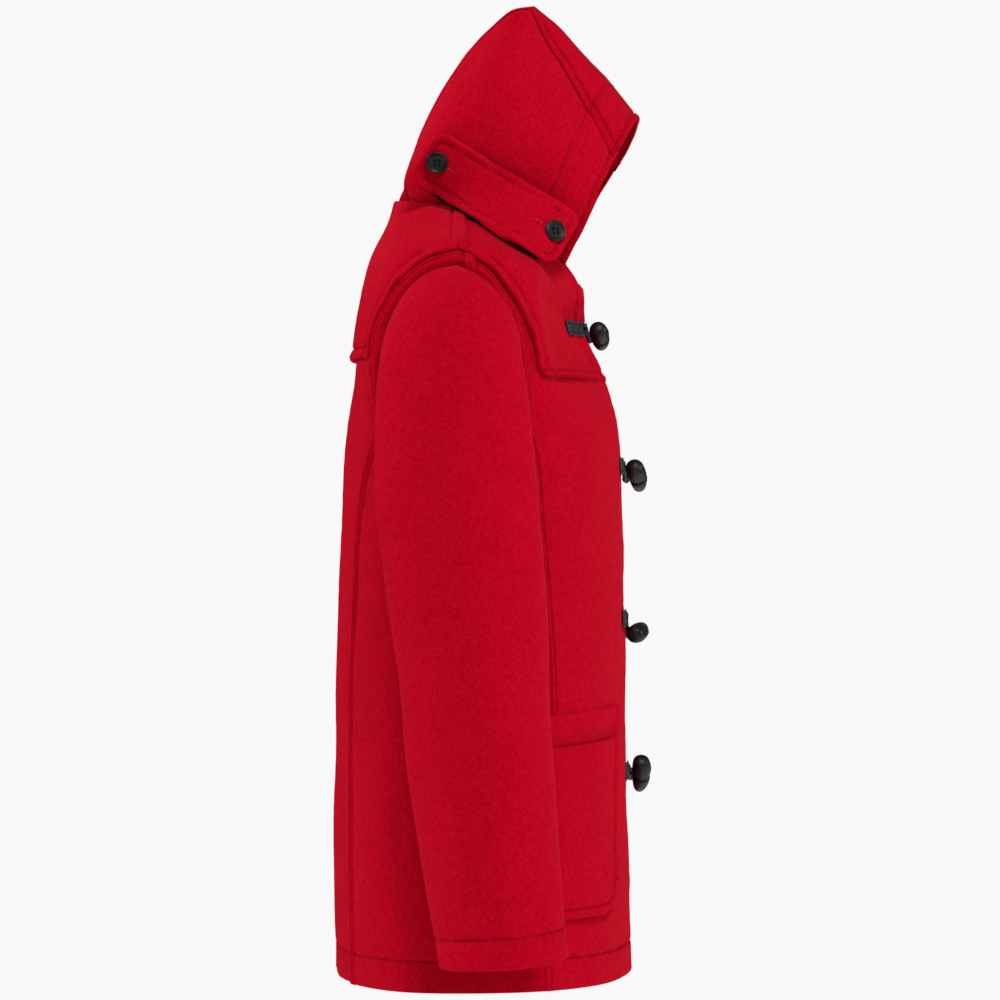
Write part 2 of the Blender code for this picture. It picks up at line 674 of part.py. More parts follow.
# ---------------------------------------------------------------- hood
HOOD_BACK_STEPS = 11     # along the seam, from the neck to the peak
HOOD_TOP_STEPS = 8       # and on to the face
HOOD_RIBS = 8            # from the seam down to the neck


def hood_lines():
    seam = smooth_points([(r["x"], r["y"], r["z"]) for r in HOOD_SEAM[:PEAK_STATION + 1]],
                         HOOD_BACK_STEPS)
    seam += smooth_points([(r["x"], r["y"], r["z"]) for r in HOOD_SEAM[PEAK_STATION:]],
                          HOOD_TOP_STEPS)[1:]
    crown = smooth_points([(0.0, r["y"], r["z"]) for r in HOOD_CROWN[:PEAK_STATION + 1]], HOOD_BACK_STEPS)
    crown += smooth_points([(0.0, r["y"], r["z"]) for r in HOOD_CROWN[PEAK_STATION:]], HOOD_TOP_STEPS)[1:]
    return seam, crown


def neck_line(count):
    """Along the neck seam from the centre strip to the throat, just above the body."""
    first = angle_from_neck_x(HOOD_SEAM[0]["x"], True)
    last = angle_from_neck_x(HOOD_FACE[0]["x"], False)
    return [body_point(NECK_LEVEL, angle) + Vector((0.0, 0.0, HOOD_GAP))
            for angle in spread(first, last, count)]


def angle_from_neck_x(x, behind):
    r = ring(NECK_LEVEL)
    angle = math.asin(abs(x / r["half_width"]) ** (r["back_n" if behind else "front_n"] / 2))
    return math.pi - angle if behind else angle


def hood_grids():
    """Right side as rows from the neck to the seam, and the centre strip as rows along it."""
    seam, crown = hood_lines()
    first = 2                                  # the lowest stretch of the seam is the side's back edge
    top = seam[first:]
    count = len(top) - 1
    base = neck_line(count)
    seam[0] = base[0].copy()
    face = smooth_points([(r["x"], r["y"], r["z"]) for r in HOOD_FACE], HOOD_RIBS)
    face[0] = base[-1].copy()
    face[-1] = top[-1].copy()
    back_edge = [base[0].lerp(top[0], k / HOOD_RIBS) for k in range(HOOD_RIBS + 1)]
    back_edge[HOOD_RIBS // 2] = seam[1].copy()
    for k in range(1, HOOD_RIBS):
        half = HOOD_RIBS // 2
        if k < half:
            back_edge[k] = base[0].lerp(seam[1], k / half)
        elif k > half:
            back_edge[k] = seam[1].lerp(top[0], (k - half) / (HOOD_RIBS - half))
    side = []
    for k in range(HOOD_RIBS + 1):
        r = k / HOOD_RIBS
        row = []
        for j in range(count + 1):
            u = j / count
            ruled = base[j].lerp(top[j], r)
            edges = back_edge[k].lerp(face[k], u)
            corners = base[0].lerp(top[0], r).lerp(base[-1].lerp(top[-1], r), u)
            swell = HOOD_SWELL * math.sin(math.pi * r) ** 0.8 * math.sin(math.pi * u) ** 0.7
            row.append(ruled + edges - corners + Vector((-swell, 0.0, 0.0)))
        side.append(row)
    strip = []
    columns = 6
    for s, c in zip(seam, crown):
        row = []
        for j in range(columns + 1):
            across = 1 - 2 * j / columns
            turn = across * math.pi / 2
            x = s.x * math.sin(abs(turn)) * math.copysign(1, across) if across else 0.0
            share = math.cos(turn)
            row.append(Vector((x, s.y + (c.y - s.y) * share, s.z + (c.z - s.z) * share)))
        row[0] = s.copy()
        row[-1] = Vector((-s.x, s.y, s.z))
        strip.append(row)
    return side, strip


def shared_normals(grids):
    """Vertex normals over several grids that share points along their seams."""
    total = {}

    def key(p):
        return (round(p.x, 6), round(p.y, 6), round(p.z, 6))

    for grid in grids:
        for i in range(len(grid) - 1):
            for j in range(len(grid[0]) - 1):
                a, b, c, d = grid[i][j], grid[i][j + 1], grid[i + 1][j + 1], grid[i + 1][j]
                normal = (c - a).cross(d - b)
                for p in (a, b, c, d):
                    total[key(p)] = total.get(key(p), Vector()) + normal
    return [[[total[key(p)].normalized() for p in row] for row in grid] for grid in grids]


def build_hood():
    side, strip = hood_grids()
    other = [list(reversed(row)) for row in mirrored(side)]
    strip_flipped = [list(reversed(row)) for row in strip]
    normals = shared_normals([side, other, strip_flipped])
    sign = 1 if normals[0][HOOD_RIBS // 2][10].x < 0 else -1
    if (strip_flipped[12][3] - Vector((0, 0, 0.05))).dot(normals[2][12][3]) * sign < 0:
        normals = shared_normals([side, other, strip])
        strip_normals = normals[2]
    else:
        strip_normals = [list(reversed(row)) for row in normals[2]]
    pieces = (("hood_side_right", side, normals[0]), ("hood_side_left", other, normals[1]),
              ("hood_centre", strip, strip_normals))
    for name, grid, ns in pieces:
        inner = [[p - n * (sign * WALL) for p, n in zip(row, line)] for row, line in zip(grid, ns)]
        closed_mesh(name, wall_faces(pull_in(grid, SEAM_INSET), pull_in(inner, SEAM_INSET)),
                    RED_WOOL)


# ---------------------------------------------------------------- pieces that lie on the cloth
def surface_tree(item):
    shape = bmesh.new()
    shape.from_mesh(item.data)
    tree = BVHTree.FromBMesh(shape)
    shape.free()
    return tree


def tab_outline(columns, rows):
    """Grid of a flat strip with round corners: along its length, and across from its lower edge."""
    length = math.dist(TAB_BACK, TAB_FRONT)
    grid = []
    for i in range(rows + 1):
        across = -1 + 2 * i / rows
        line = []
        for j in range(columns + 1):
            along = -1 + 2 * j / columns
            share = (along + 1) / 2
            half_width = TAB_HALF_WIDTH_BACK + (TAB_HALF_WIDTH_FRONT - TAB_HALF_WIDTH_BACK) * share
            past = abs(across) * half_width - (half_width - TAB_CORNER)
            reach = length / 2
            if past > 0:
                reach -= TAB_CORNER - math.sqrt(max(TAB_CORNER**2 - past**2, 0.0))
            line.append((along * reach, across * half_width))
        grid.append(line)
    return grid


def build_tab(carriers):
    """The tab lies on the hood side, and its lower edge rests on the shoulder of the yoke."""
    trees = [surface_tree(bpy.data.objects[name]) for name in carriers]
    back, front = Vector((0, *TAB_BACK)), Vector((0, *TAB_FRONT))
    along = (front - back).normalized()
    across = Vector((0, -along.z, along.y))
    if across.z < 0:
        across = -across
    centre = (front + back) / 2

    def outermost(a, b):
        """The place at a, b of the tab's outline, as far out as anything just round it."""
        place = centre + along * a + across * b
        reach = TAB_REACH * (0.5 - b / TAB_HALF_WIDTH_FRONT / 2)
        for da, db in ((0, 0), (reach, 0), (-reach, 0), (0, reach), (0, -reach)):
            start = centre + along * (a + da) + across * (b + db) + Vector((-1.0, 0.0, 0.0))
            for tree in trees:
                hit = tree.ray_cast(start, Vector((1.0, 0.0, 0.0)))[0]
                if hit:
                    place.x = min(place.x, hit.x)
        return place

    flat = tab_outline(14, 6)
    hits = [[outermost(a, b) for a, b in row] for row in flat]
    rows = len(hits) - 1
    grid = []
    for i, row in enumerate(hits):
        line = []
        for j, hit in enumerate(row):
            straight = hits[0][j].x + (hits[rows][j].x - hits[0][j].x) * i / rows
            line.append(Vector((min(straight, hit.x), hit.y, hit.z)))
        grid.append(line)
    normals = grid_normals(grid)
    if normals[rows // 2][7].x > 0:
        normals = [[-n for n in line] for line in normals]
    inner = [[p + n * TAB_LIFT for p, n in zip(row, line)] for row, line in zip(grid, normals)]
    outer = [[p + n * (TAB_LIFT + TAB_WALL) for p, n in zip(row, line)]
             for row, line in zip(grid, normals)]
    closed_mesh("throat_tab", wall_faces(outer, inner), RED_WOOL)
    tree = surface_tree(bpy.data.objects["throat_tab"])
    reach = (front - back).length / 2 - BUTTON_FROM_END
    for name, a in (("tab_button_back", -reach), ("tab_button_front", reach)):
        place = centre + along * a
        hit, normal, _, _ = tree.ray_cast(Vector((-1.0, place.y, place.z)), Vector((1.0, 0.0, 0.0)))
        build_button(name, hit + normal * TAB_BUTTON_LIFT, normal)
    place = centre + along * reach
    tree = surface_tree(bpy.data.objects["hood_side_left"])
    hit, normal, _, _ = tree.ray_cast(Vector((1.0, place.y, place.z)), Vector((-1.0, 0.0, 0.0)))
    build_button("hood_button_left", hit + normal * HOOD_BUTTON_LIFT, normal)


def build_button(name, seat, axis):
    profile = [(0.0, 0.0), (BUTTON_RADIUS * 0.8, 0.0), (BUTTON_RADIUS, BUTTON_EDGE),
               (BUTTON_RADIUS * 0.98, BUTTON_WALL * 0.85), (BUTTON_RADIUS * 0.82, BUTTON_WALL),
               (BUTTON_RADIUS * 0.68, BUTTON_WALL * 0.7), (0.0, BUTTON_WALL * 0.7)]
    turned(name, seat, axis, profile, 12, BLACK_BUTTON)


def turned(name, seat, axis, profile, sides, finish):
    """A body of revolution: profile holds radius and height along the axis."""
    axis = axis.normalized()
    first = axis.orthogonal().normalized()
    second = axis.cross(first)
    rings = []
    for radius, height in profile:
        rings.append([seat + axis * height + (first * math.cos(t) + second * math.sin(t)) * radius
                      for t in (2 * math.pi * k / sides for k in range(sides))])
    faces = []
    for low, high in zip(rings, rings[1:]):
        for k in range(sides):
            m = (k + 1) % sides
            faces.append((low[k], low[m], high[m], high[k]))
    if profile[0][0] > 0:
        faces.append(list(reversed(rings[0])))
    if profile[-1][0] > 0:
        faces.append(rings[-1])
    return closed_mesh(name, faces, finish)


def front_place(x, height):
    """Level and angle of the front surface point at this x and height."""
    low, high = HEM_LEVEL, NECK_LEVEL
    for _ in range(40):
        middle = (low + high) / 2
        if body_point(middle, angle_at_x(middle, x)).z < height:
            low = middle
        else:
            high = middle
    return low, angle_at_x(low, x)


def front_surface(x, height, lift):
    """A point this far outside the fronts; past the centre line the right front runs on straight."""
    place = front_place(min(x, 0.0), height)
    return body_point(*place) + body_normal(*place) * lift + Vector((max(x, 0.0), 0.0, 0.0))


def build_toggles():
    for number, t in enumerate(TOGGLES, start=1):
        middle = Vector((t["x"], t["y"], t["z"]))
        axis = Vector((t["to_x"], t["to_y"], t["to_z"])).normalized()
        profile = [(r, s * TOGGLE_LENGTH) for s, r in TOGGLE_PROFILE]
        turned(f"toggle_{number}", middle, axis, profile, 10, DARK_HORN)
        build_patch(f"patch_right_{number}", t["patch_z"], RIGHT_PATCH_START, -1)
        build_patch(f"patch_left_{number}", t["patch_z"], LEFT_PATCH_START, 1)
        build_cords(number, t)


def doubled_height(height):
    """How much higher things lie on the doubled shoulder piece."""
    return YOKE_LIFT + WALL if height > YOKE_FRONT_LEVEL else 0.0


def build_patch(name, height, start, reach):
    """A leather patch on one front, its long side level."""
    doubled = doubled_height(height)
    lift = doubled + (PATCH_LIFT if reach < 0 or doubled else LEFT_PATCH_LIFT)
    outer, inner = [], []
    for i in range(3):
        z = height + (i - 1) * PATCH_HEIGHT / 2
        places = [front_place(start + reach * PATCH_LENGTH * j / PATCH_COLUMNS, z) for j in range(PATCH_COLUMNS + 1)]
        inner.append([body_point(*p) + body_normal(*p) * lift for p in places])
        outer.append([body_point(*p) + body_normal(*p) * (lift + PATCH_WALL) for p in places])
    closed_mesh(name, wall_faces(outer, inner), DARK_LEATHER)


def build_cords(number, t):
    """A long loop from the right patch and a short cord from the left one meet behind the toggle."""
    rest = CORD_RADIUS + GAP + CORD_CLEARANCE
    height = t["patch_z"]

    def place(x, sideways, rise, share):
        """share says how far the cord has gone over from its patch to its toggle."""
        step = doubled_height(height) if x < LOOP_REACH[0] else 0.0
        z = height + sideways + (t["z"] - height) * share
        return front_surface(x, z, rest + step + rise + t["cord_rise"] * share)

    def gone_over(x, reach):
        return min(max((x - reach[0]) / (reach[1] - reach[0]), 0.0), 1.0)

    for name, route, reach in (("loop", LOOP_ROUTE, LOOP_REACH),
                               ("short_cord", SHORT_CORD_ROUTE, SHORT_CORD_REACH)):
        tube(f"{name}_{number}", [place(x, sideways, rise, gone_over(x, reach))
                                  for x, sideways, rise in route], CORD_RADIUS)


def build_pockets():
    columns, rows = 9, 7
    grid = []
    for i in range(rows + 1):
        down = i / rows
        edge = {c: POCKET[0][c] + (POCKET[1][c] - POCKET[0][c]) * down for c in POCKET[0]}
        line = []
        front = angle_at_x(edge["front_level"], edge["front_x"])
        back = angle_at_y(edge["side_level"], edge["back_y"])
        for j in range(columns + 1):
            across = j / columns
            level = edge["front_level"] + (edge["side_level"] - edge["front_level"]) * across
            line.append((level, front + (back - front) * across))
        grid.append(line)
    round_off = math.radians(360) * POCKET_CORNER * 0.3
    bottom = grid[-1]
    bottom[0] = (bottom[0][0] + POCKET_CORNER * 0.35, bottom[0][1] + round_off)
    bottom[-1] = (bottom[-1][0] + POCKET_CORNER * 0.35, bottom[-1][1] - round_off)
    outer = panel_points(grid, POCKET_LIFT + POCKET_WALL)
    inner = panel_points(grid, POCKET_LIFT)
    closed_mesh("pocket_right", wall_faces(outer, inner), RED_WOOL)
    closed_mesh("pocket_left", wall_faces(mirrored(outer), mirrored(inner)), RED_WOOL)


def tube(name, route, radius, sides=6):
    """A leather cord along a smooth route, with flat ends."""
    points = smooth_points(route, 3 * (len(route) - 1))
    heading = (points[1] - points[0]).normalized()
    first = heading.orthogonal().normalized()
    rings = []
    for i, point in enumerate(points):
        ahead = points[min(i + 1, len(points) - 1)] - points[max(i - 1, 0)]
        heading = ahead.normalized()
        first = (first - heading * first.dot(heading)).normalized()
        second = heading.cross(first)
        rings.append([point + (first * math.cos(t) + second * math.sin(t)) * radius
                      for t in (2 * math.pi * k / sides for k in range(sides))])
    faces = [list(reversed(rings[0])), rings[-1]]
    for low, high in zip(rings, rings[1:]):
        for k in range(sides):
            m = (k + 1) % sides
            faces.append((low[k], low[m], high[m], high[k]))
    return closed_mesh(name, faces, DARK_LEATHER)


clear_scene()
build_body()
build_arms()
build_hood()
build_tab(("hood_side_right", "yoke_front_right", "yoke_back", "hood_centre"))
build_pockets()
build_toggles()
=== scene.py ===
"""Hooded duffle coat of thick felted wool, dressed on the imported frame.

Metres. +Z is up, the front faces -Y, the wearer's right is -X.
Every cloth piece is a fine grid of points: its cut comes from the coat's driving tables,
and its edges, laps, stitch grooves and creases are moves of those points along the surface's normal.
"""
import json
import math

import bmesh
import bpy
import numpy as np
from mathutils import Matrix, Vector
from mathutils.bvhtree import BVHTree

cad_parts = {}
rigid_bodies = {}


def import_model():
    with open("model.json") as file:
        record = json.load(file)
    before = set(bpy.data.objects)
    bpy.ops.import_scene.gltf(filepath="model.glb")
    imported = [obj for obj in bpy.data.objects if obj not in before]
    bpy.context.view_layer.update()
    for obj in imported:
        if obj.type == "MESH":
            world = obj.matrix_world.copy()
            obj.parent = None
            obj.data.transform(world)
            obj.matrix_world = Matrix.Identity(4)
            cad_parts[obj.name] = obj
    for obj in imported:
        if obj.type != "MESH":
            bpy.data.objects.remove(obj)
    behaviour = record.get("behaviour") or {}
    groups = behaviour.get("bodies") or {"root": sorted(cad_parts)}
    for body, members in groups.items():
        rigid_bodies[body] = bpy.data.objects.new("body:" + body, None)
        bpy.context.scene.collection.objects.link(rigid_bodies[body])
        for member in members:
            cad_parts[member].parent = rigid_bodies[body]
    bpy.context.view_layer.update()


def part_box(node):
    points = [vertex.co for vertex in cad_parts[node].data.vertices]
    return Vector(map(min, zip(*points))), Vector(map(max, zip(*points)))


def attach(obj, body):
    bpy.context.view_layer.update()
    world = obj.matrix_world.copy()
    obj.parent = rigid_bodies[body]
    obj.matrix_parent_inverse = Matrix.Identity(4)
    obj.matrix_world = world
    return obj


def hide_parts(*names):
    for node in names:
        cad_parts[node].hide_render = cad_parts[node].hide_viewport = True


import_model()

# ------------------------ the coat's cut
WALL = 0.0026
HEM_LEVEL = -0.705
ARMHOLE_CORNER = -0.205
ARMHOLE_TOP = -0.057
NECK_LEVEL = -0.0125
SHOULDER_Y = 0.022
YOKE_BACK_LEVEL = -0.150
YOKE_FRONT_LEVEL = -0.167
OVERLAP = 0.035
YOKE_RIGHT_EDGE = -0.012
YOKE_LEFT_EDGE = 0.045
YOKE_EDGE_SLANT = 0.0305
YOKE_SLANT_LEVEL = -0.075
BAND_WIDTH = 0.0085
BAND_WIDER_TOP = 0.0045
BAND_STEP = 0.009
YOKE_LIFT = 0.0006
YOKE_NECK_SETBACK = 0.0016
YOKE_SETBACK = 0.0085
YOKE_SETBACK_RISE = 1.6  # the setback is full this much sooner than at the yoke's lower edge
YOKE_CORNER, YOKE_CORNER_HEIGHT = 0.010, 0.012
RISE_POWER = 1.6
CHEST_FALL = 0.0277
CHEST_FALL_LENGTH = 0.05
CHEST_STRIP = (-0.002, 0.048)
CHEST_FALL_ROUND = (0.55, 0.92)
CHEST_FALL_LOW = (-0.235, -0.115)
CHEST_FALL_HIGH = (-0.060, NECK_LEVEL)


def table(columns, *rows):
    """Named columns of numbers as arrays."""
    return dict(zip(columns.split(), np.array(rows, float).T))


BODY = table(
    "level  half_width front_y  front_z  front_n back_y  back_z  back_n",
    (-0.705, 0.235, -0.1352, -0.705, 2.4, 0.1345, -0.705, 2.5),
    (-0.640, 0.229, -0.1340, -0.640, 2.4, 0.1360, -0.640, 2.5),
    (-0.550, 0.220, -0.1308, -0.550, 2.4, 0.1352, -0.550, 2.5),
    (-0.460, 0.209, -0.1297, -0.460, 2.4, 0.1343, -0.460, 2.5),
    (-0.370, 0.199, -0.1282, -0.370, 2.4, 0.1325, -0.370, 2.5),
    (-0.300, 0.198, -0.1280, -0.300, 2.4, 0.1298, -0.300, 2.6),
    (-0.250, 0.200, -0.1262, -0.250, 2.4, 0.1268, -0.250, 2.8),
    (-0.205, 0.200, -0.1222, -0.205, 2.4, 0.1225, -0.205, 3.0),
    (-0.170, 0.198, -0.1120, -0.170, 2.5, 0.1180, -0.170, 3.2),
    (-0.130, 0.196, -0.1015, -0.145, 2.6, 0.1150, -0.130, 3.2),
    (-0.095, 0.193, -0.0948, -0.130, 2.7, 0.1105, -0.097, 3.1),
    (-0.066, 0.189, -0.0914, -0.118, 2.7, 0.1040, -0.070, 2.9),
    (-0.050, 0.176, -0.0910, -0.108, 2.6, 0.0980, -0.052, 2.7),
    (-0.037, 0.143, -0.0915, -0.099, 2.4, 0.0910, -0.035, 2.5),
    (-0.024, 0.106, -0.0920, -0.090, 2.2, 0.0845, -0.018, 2.3),
    (-0.0125, 0.074, -0.0912, -0.081, 2.0, 0.0790, -0.001, 2.1),
)
SIDE_SEAMS = table(
    "level  front  back",
    (-0.705, -0.0620, 0.1165),
    (-0.580, -0.0655, 0.1190),
    (-0.450, -0.0665, 0.1190),
    (-0.364, -0.0613, 0.1158),
    (-0.294, -0.0550, 0.1122),
    (-0.240, -0.0500, 0.1034),
    (-0.205, -0.0405, 0.0905),
)
ARMHOLE = {
    "front": [(-0.205, -0.0405), (-0.170, -0.0402), (-0.140, -0.0375), (-0.103, -0.0279),
              (-0.084, -0.0191), (-0.0675, -0.0033), (-0.057, 0.0220)],
    "back": [(-0.205, 0.0905), (-0.187, 0.0954), (-0.158, 0.0995), (-0.126, 0.0950),
             (-0.102, 0.0843), (-0.081, 0.0711), (-0.0645, 0.0500), (-0.057, 0.0220)],
    "under": [(-0.205, -0.0405), (-0.228, -0.0310), (-0.243, -0.0080), (-0.249, 0.0220),
              (-0.246, 0.0520), (-0.233, 0.0770), (-0.205, 0.0905)],
}
SLEEVE = table(
    "outer_x  outer_z  inner_x  inner_z  middle_y  half_depth  drop",
    (-0.2150, -0.0745, -0.2130, -0.2385, 0.0285, 0.0615, 0.000),
    (-0.2390, -0.0920, -0.2138, -0.2420, 0.0283, 0.0630, 0.000),
    (-0.2600, -0.1250, -0.2146, -0.2460, 0.0276, 0.0655, 0.000),
    (-0.2770, -0.1700, -0.2152, -0.2510, 0.0262, 0.0680, 0.000),
    (-0.2900, -0.2250, -0.2156, -0.2610, 0.0242, 0.0702, 0.000),
    (-0.3010, -0.2850, -0.2158, -0.2900, 0.0206, 0.0713, 0.000),
    (-0.3100, -0.3450, -0.2162, -0.3450, 0.0157, 0.0694, 0.001),
    (-0.3180, -0.4100, -0.2175, -0.4100, 0.0099, 0.0667, 0.002),
    (-0.3260, -0.4800, -0.2220, -0.4800, 0.0033, 0.0641, 0.002),
    (-0.3330, -0.5500, -0.2295, -0.5500, -0.0040, 0.0612, 0.003),
    (-0.3390, -0.6180, -0.2380, -0.6160, -0.0110, 0.0581, 0.003),
    (-0.3430, -0.6740, -0.2460, -0.6700, -0.0178, 0.0547, 0.004),
)
# Hood: the seam between side and centre strip and the middle of the strip, at the same stations.
HOOD = table(
    "x  y  z  crown_y  crown_z",
    (-0.0455, 0.0686, -0.0044, 0.0788, -0.0010),
    (-0.0490, 0.0722, 0.0120, 0.0730, 0.0120),
    (-0.0520, 0.0660, 0.0329, 0.0662, 0.0333),
    (-0.0560, 0.0514, 0.0689, 0.0516, 0.0693),
    (-0.0580, 0.0314, 0.1052, 0.0316, 0.1057),
    (-0.0550, 0.0078, 0.1376, 0.0078, 0.1382),
    (-0.0480, -0.0234, 0.1668, -0.0232, 0.1694),
    (-0.0420, -0.0430, 0.1722, -0.0460, 0.1772),
    (-0.0480, -0.0566, 0.1423, -0.0700, 0.1568),
    (-0.0530, -0.0738, 0.1146, -0.0905, 0.1350),
    (-0.0580, -0.0918, 0.0823, -0.1120, 0.1120),
    (-0.0620, -0.1053, 0.0593, -0.1272, 0.0935),
    (-0.0670, -0.1182, 0.0322, -0.1415, 0.0745),
)
PEAK_STATION = 7
HOOD_BACK_STEPS = 11
HOOD_TOP_STEPS = 8
HOOD_FACE = table(
    "x  y  z",
    (-0.0380, -0.0726, -0.0690),
    (-0.0500, -0.0755, -0.0560),
    (-0.0640, -0.0850, -0.0370),
    (-0.0730, -0.0940, -0.0190),
    (-0.0770, -0.1030, 0.0020),
    (-0.0740, -0.1114, 0.0180),
    (-0.0670, -0.1182, 0.0322),
)
HOOD_SWELL = 0.034
SWELL_UP, SWELL_ALONG = 0.8, 0.7  # below 1 makes the swell fuller towards its ends
TOGGLES = table(
    "x  y  z  to_x  to_y  to_z  patch_z  cord_rise",
    (0.012, -0.1069, -0.1260, 0.93, -0.10, -0.36, -0.1200, 0.0),
    (0.012, -0.1415, -0.2545, 0.86, -0.16, -0.49, -0.2452, 0.0010),
    (0.012, -0.1428, -0.3975, 0.97, -0.20, 0.10, -0.3841, 0.0),
    (0.012, -0.1447, -0.5290, 0.75, 0.02, -0.66, -0.5230, 0.0014),
)
TAB_BACK = (0.0533, 0.0368)
TAB_FRONT = (-0.0785, -0.0410)
TAB_HALF_WIDTHS = (0.0248, 0.0283)
TAB_CORNER = 0.013
TAB_WALL = 0.0034
POCKET = table(
    "front_level  side_level  front_x  back_y",
    (-0.459, -0.470, -0.100, -0.006),
    (-0.643, -0.646, -0.134, -0.012),
)


# ------------------------ materials
def linear(code):
    """An sRGB colour such as "B4051F" as linear red, green, blue and alpha."""
    parts = [int(code[k:k + 2], 16) / 255 for k in (0, 2, 4)]
    return [p / 12.92 if p <= 0.04045 else ((p + 0.055) / 1.055) ** 2.4 for p in parts] + [1.0]


def add_node(tree, kind, inputs=(), **settings):
    """A node with its settings and inputs; an input is given as a value, or as the socket it is linked to."""
    node = tree.nodes.new(kind)
    given = dict(inputs)
    for key, value in settings.items():
        if hasattr(node, key):
            setattr(node, key, value)
        else:
            given[key.replace("_", " ")] = value
    for socket, source in given.items():
        if isinstance(source, bpy.types.NodeSocket):
            tree.links.new(source, node.inputs[socket])
        else:
            node.inputs[socket].default_value = source
    return node


class Shader:
    """A short way to write a node material around one Principled shader."""

    def __init__(self, name, **settings):
        self.material = bpy.data.materials.new(name)
        self.material.use_nodes = True
        self.tree = self.material.node_tree
        self.principled = self.tree.nodes["Principled BSDF"]
        for key, value in settings.items():
            socket = key.replace("_", " ").title().replace("Ior", "IOR")
            self.principled.inputs[socket].default_value = value
        self.where = self.add("ShaderNodeTexCoord", "Object")

    def add(self, kind, output, inputs=(), **settings):
        """One output of a new node."""
        return add_node(self.tree, kind, inputs, **settings).outputs[output]

    def noise(self, size, detail=2.0, roughness=0.5, distortion=0.0, vector=None):
        return self.add("ShaderNodeTexNoise", "Fac", {"Vector": vector or self.where}, Scale=1 / size,
                        Detail=detail, Roughness=roughness, Distortion=distortion)

    def stretched(self, scale):
        return self.add("ShaderNodeMapping", "Vector", {"Vector": self.where}, Scale=scale)

    def ramp(self, value, *stops):
        node = add_node(self.tree, "ShaderNodeValToRGB", {"Fac": value})
        elements = node.color_ramp.elements
        for k, (position, colour) in enumerate(stops):
            element = elements[k] if k < 2 else elements.new(position)
            element.position, element.color = position, linear(colour)
        return node.outputs["Color"]

    def mix(self, a, b, factor):
        return self.add("ShaderNodeMix", 2, {0: factor, 6: a, 7: b}, data_type="RGBA")

    def scaled(self, value, low, high):
        return self.add("ShaderNodeMapRange", "Result", {"Value": value}, To_Min=low, To_Max=high)

    def bumped(self, *layers):
        """Bump from several heights, each with its depth in metres."""
        under = {}
        for height, depth in layers:
            under = {"Normal": self.add("ShaderNodeBump", "Normal", {"Height": height} | under,
                                        Strength=1.0, Distance=depth)}
        self.link("Normal", under["Normal"])

    def link(self, socket, source):
        self.tree.links.new(source, self.principled.inputs[socket])


def wool():
    """Milled and raised red wool coating: matt, densely felted, with a short nap that catches light."""
    s = Shader("wool_red", roughness=1.0, specular_ior_level=0.0, sheen_weight=0.3, sheen_roughness=0.5,
               sheen_tint=linear("E83A48"))
    fibre = s.noise(0.0019, 3.0, 0.7, 0.5, s.stretched((1.0, 1.0, 0.75)))
    clump = s.noise(0.0050, 3.0, 0.65, 0.4)
    shade = s.noise(0.035, 2.0, 0.5)
    colour = s.ramp(fibre, (0.36, "9A0016"), (0.64, "CC0C26"))
    colour = s.mix(colour, s.ramp(clump, (0.34, "9E0017"), (0.66, "C60A24")), 0.42)
    colour = s.mix(colour, s.ramp(shade, (0.35, "AE021B"), (0.65, "B8041F")), 0.30)
    s.link("Base Color", colour)
    s.bumped((fibre, 0.00065), (clump, 0.00070))
    return s.material


def thread(name, colour):
    """Spun polyester sewing thread, tone in tone with the cloth; the red one is darker than the cloth, as
    painted shade of the grooves it lies in.
    """
    s = Shader(name, roughness=0.8, specular_ior_level=0.12)
    twist = s.noise(0.0005, 2.0)
    s.link("Base Color", s.ramp(twist, (0.3, colour[0]), (0.7, colour[1])))
    s.bumped((twist, 0.00008))
    return s.material


def leather():
    """Dark grey-green finished leather with a fine pebble grain and paler worn spots."""
    s = Shader("leather_dark", specular_ior_level=0.45, coat_weight=0.05)
    grain = s.add("ShaderNodeTexVoronoi", "Distance", {"Vector": s.where}, Scale=900.0)
    wear = s.noise(0.006, 3.0)
    s.link("Base Color", s.ramp(wear, (0.30, "171D1E"), (0.62, "252E2F"), (0.85, "364244")))
    s.link("Roughness", s.scaled(wear, 0.42, 0.62))
    s.bumped((grain, 0.00010), (wear, 0.00012))
    return s.material


def horn():
    """Polished buffalo horn: near black, with brown streaks along the toggle and fine pores."""
    s = Shader("horn_dark", specular_ior_level=0.26, coat_weight=0.06, coat_roughness=0.3)
    streak = s.noise(0.006, 4.0, 0.6, 1.2, s.stretched((0.45, 1.0, 1.0)))
    pores = s.noise(0.0012, 2.0)
    s.link("Base Color", s.ramp(streak, (0.38, "070505"), (0.58, "120A08"), (0.76, "3A1A12")))
    s.link("Roughness", s.scaled(pores, 0.36, 0.58))
    s.bumped((pores, 0.00006), (streak, 0.00015))
    return s.material


def button_black():
    """Cast polyester button: black with a soft gloss and fine turning marks."""
    s = Shader("button_black", specular_ior_level=0.34)
    marks = s.noise(0.0016, 3.0)
    s.link("Base Color", s.ramp(marks, (0.3, "050606"), (0.7, "0B0C0D")))
    s.link("Roughness", s.scaled(marks, 0.34, 0.50))
    s.bumped((marks, 0.00004))
    return s.material


def plain_dark(name, colour, roughness):
    """Flat dark colour: painted shade for the button holes, and the tab's dark facing that also paints the
    shadow line below its edge.
    """
    s = Shader(name, roughness=roughness, specular_ior_level=0.1)
    s.link("Base Color", s.ramp(s.noise(0.002, 2.0), (0.3, colour[0]), (0.7, colour[1])))
    return s.material


WOOL = wool()
# Red thread in the cloth's hue, its tone deepened below the cloth's as painted shade of the sewn grooves.
THREAD_RED_GROOVE_SHADE = thread("thread_red_groove_shade", ("76000F", "900217"))
THREAD_PALE = thread("buttonhole_thread", ("9C1F2E", "C4505C"))
THREAD_BLACK = thread("thread_black", ("0B0B0C", "1A1A1C"))
LEATHER = leather()
HORN = horn()
BUTTON_BLACK = button_black()
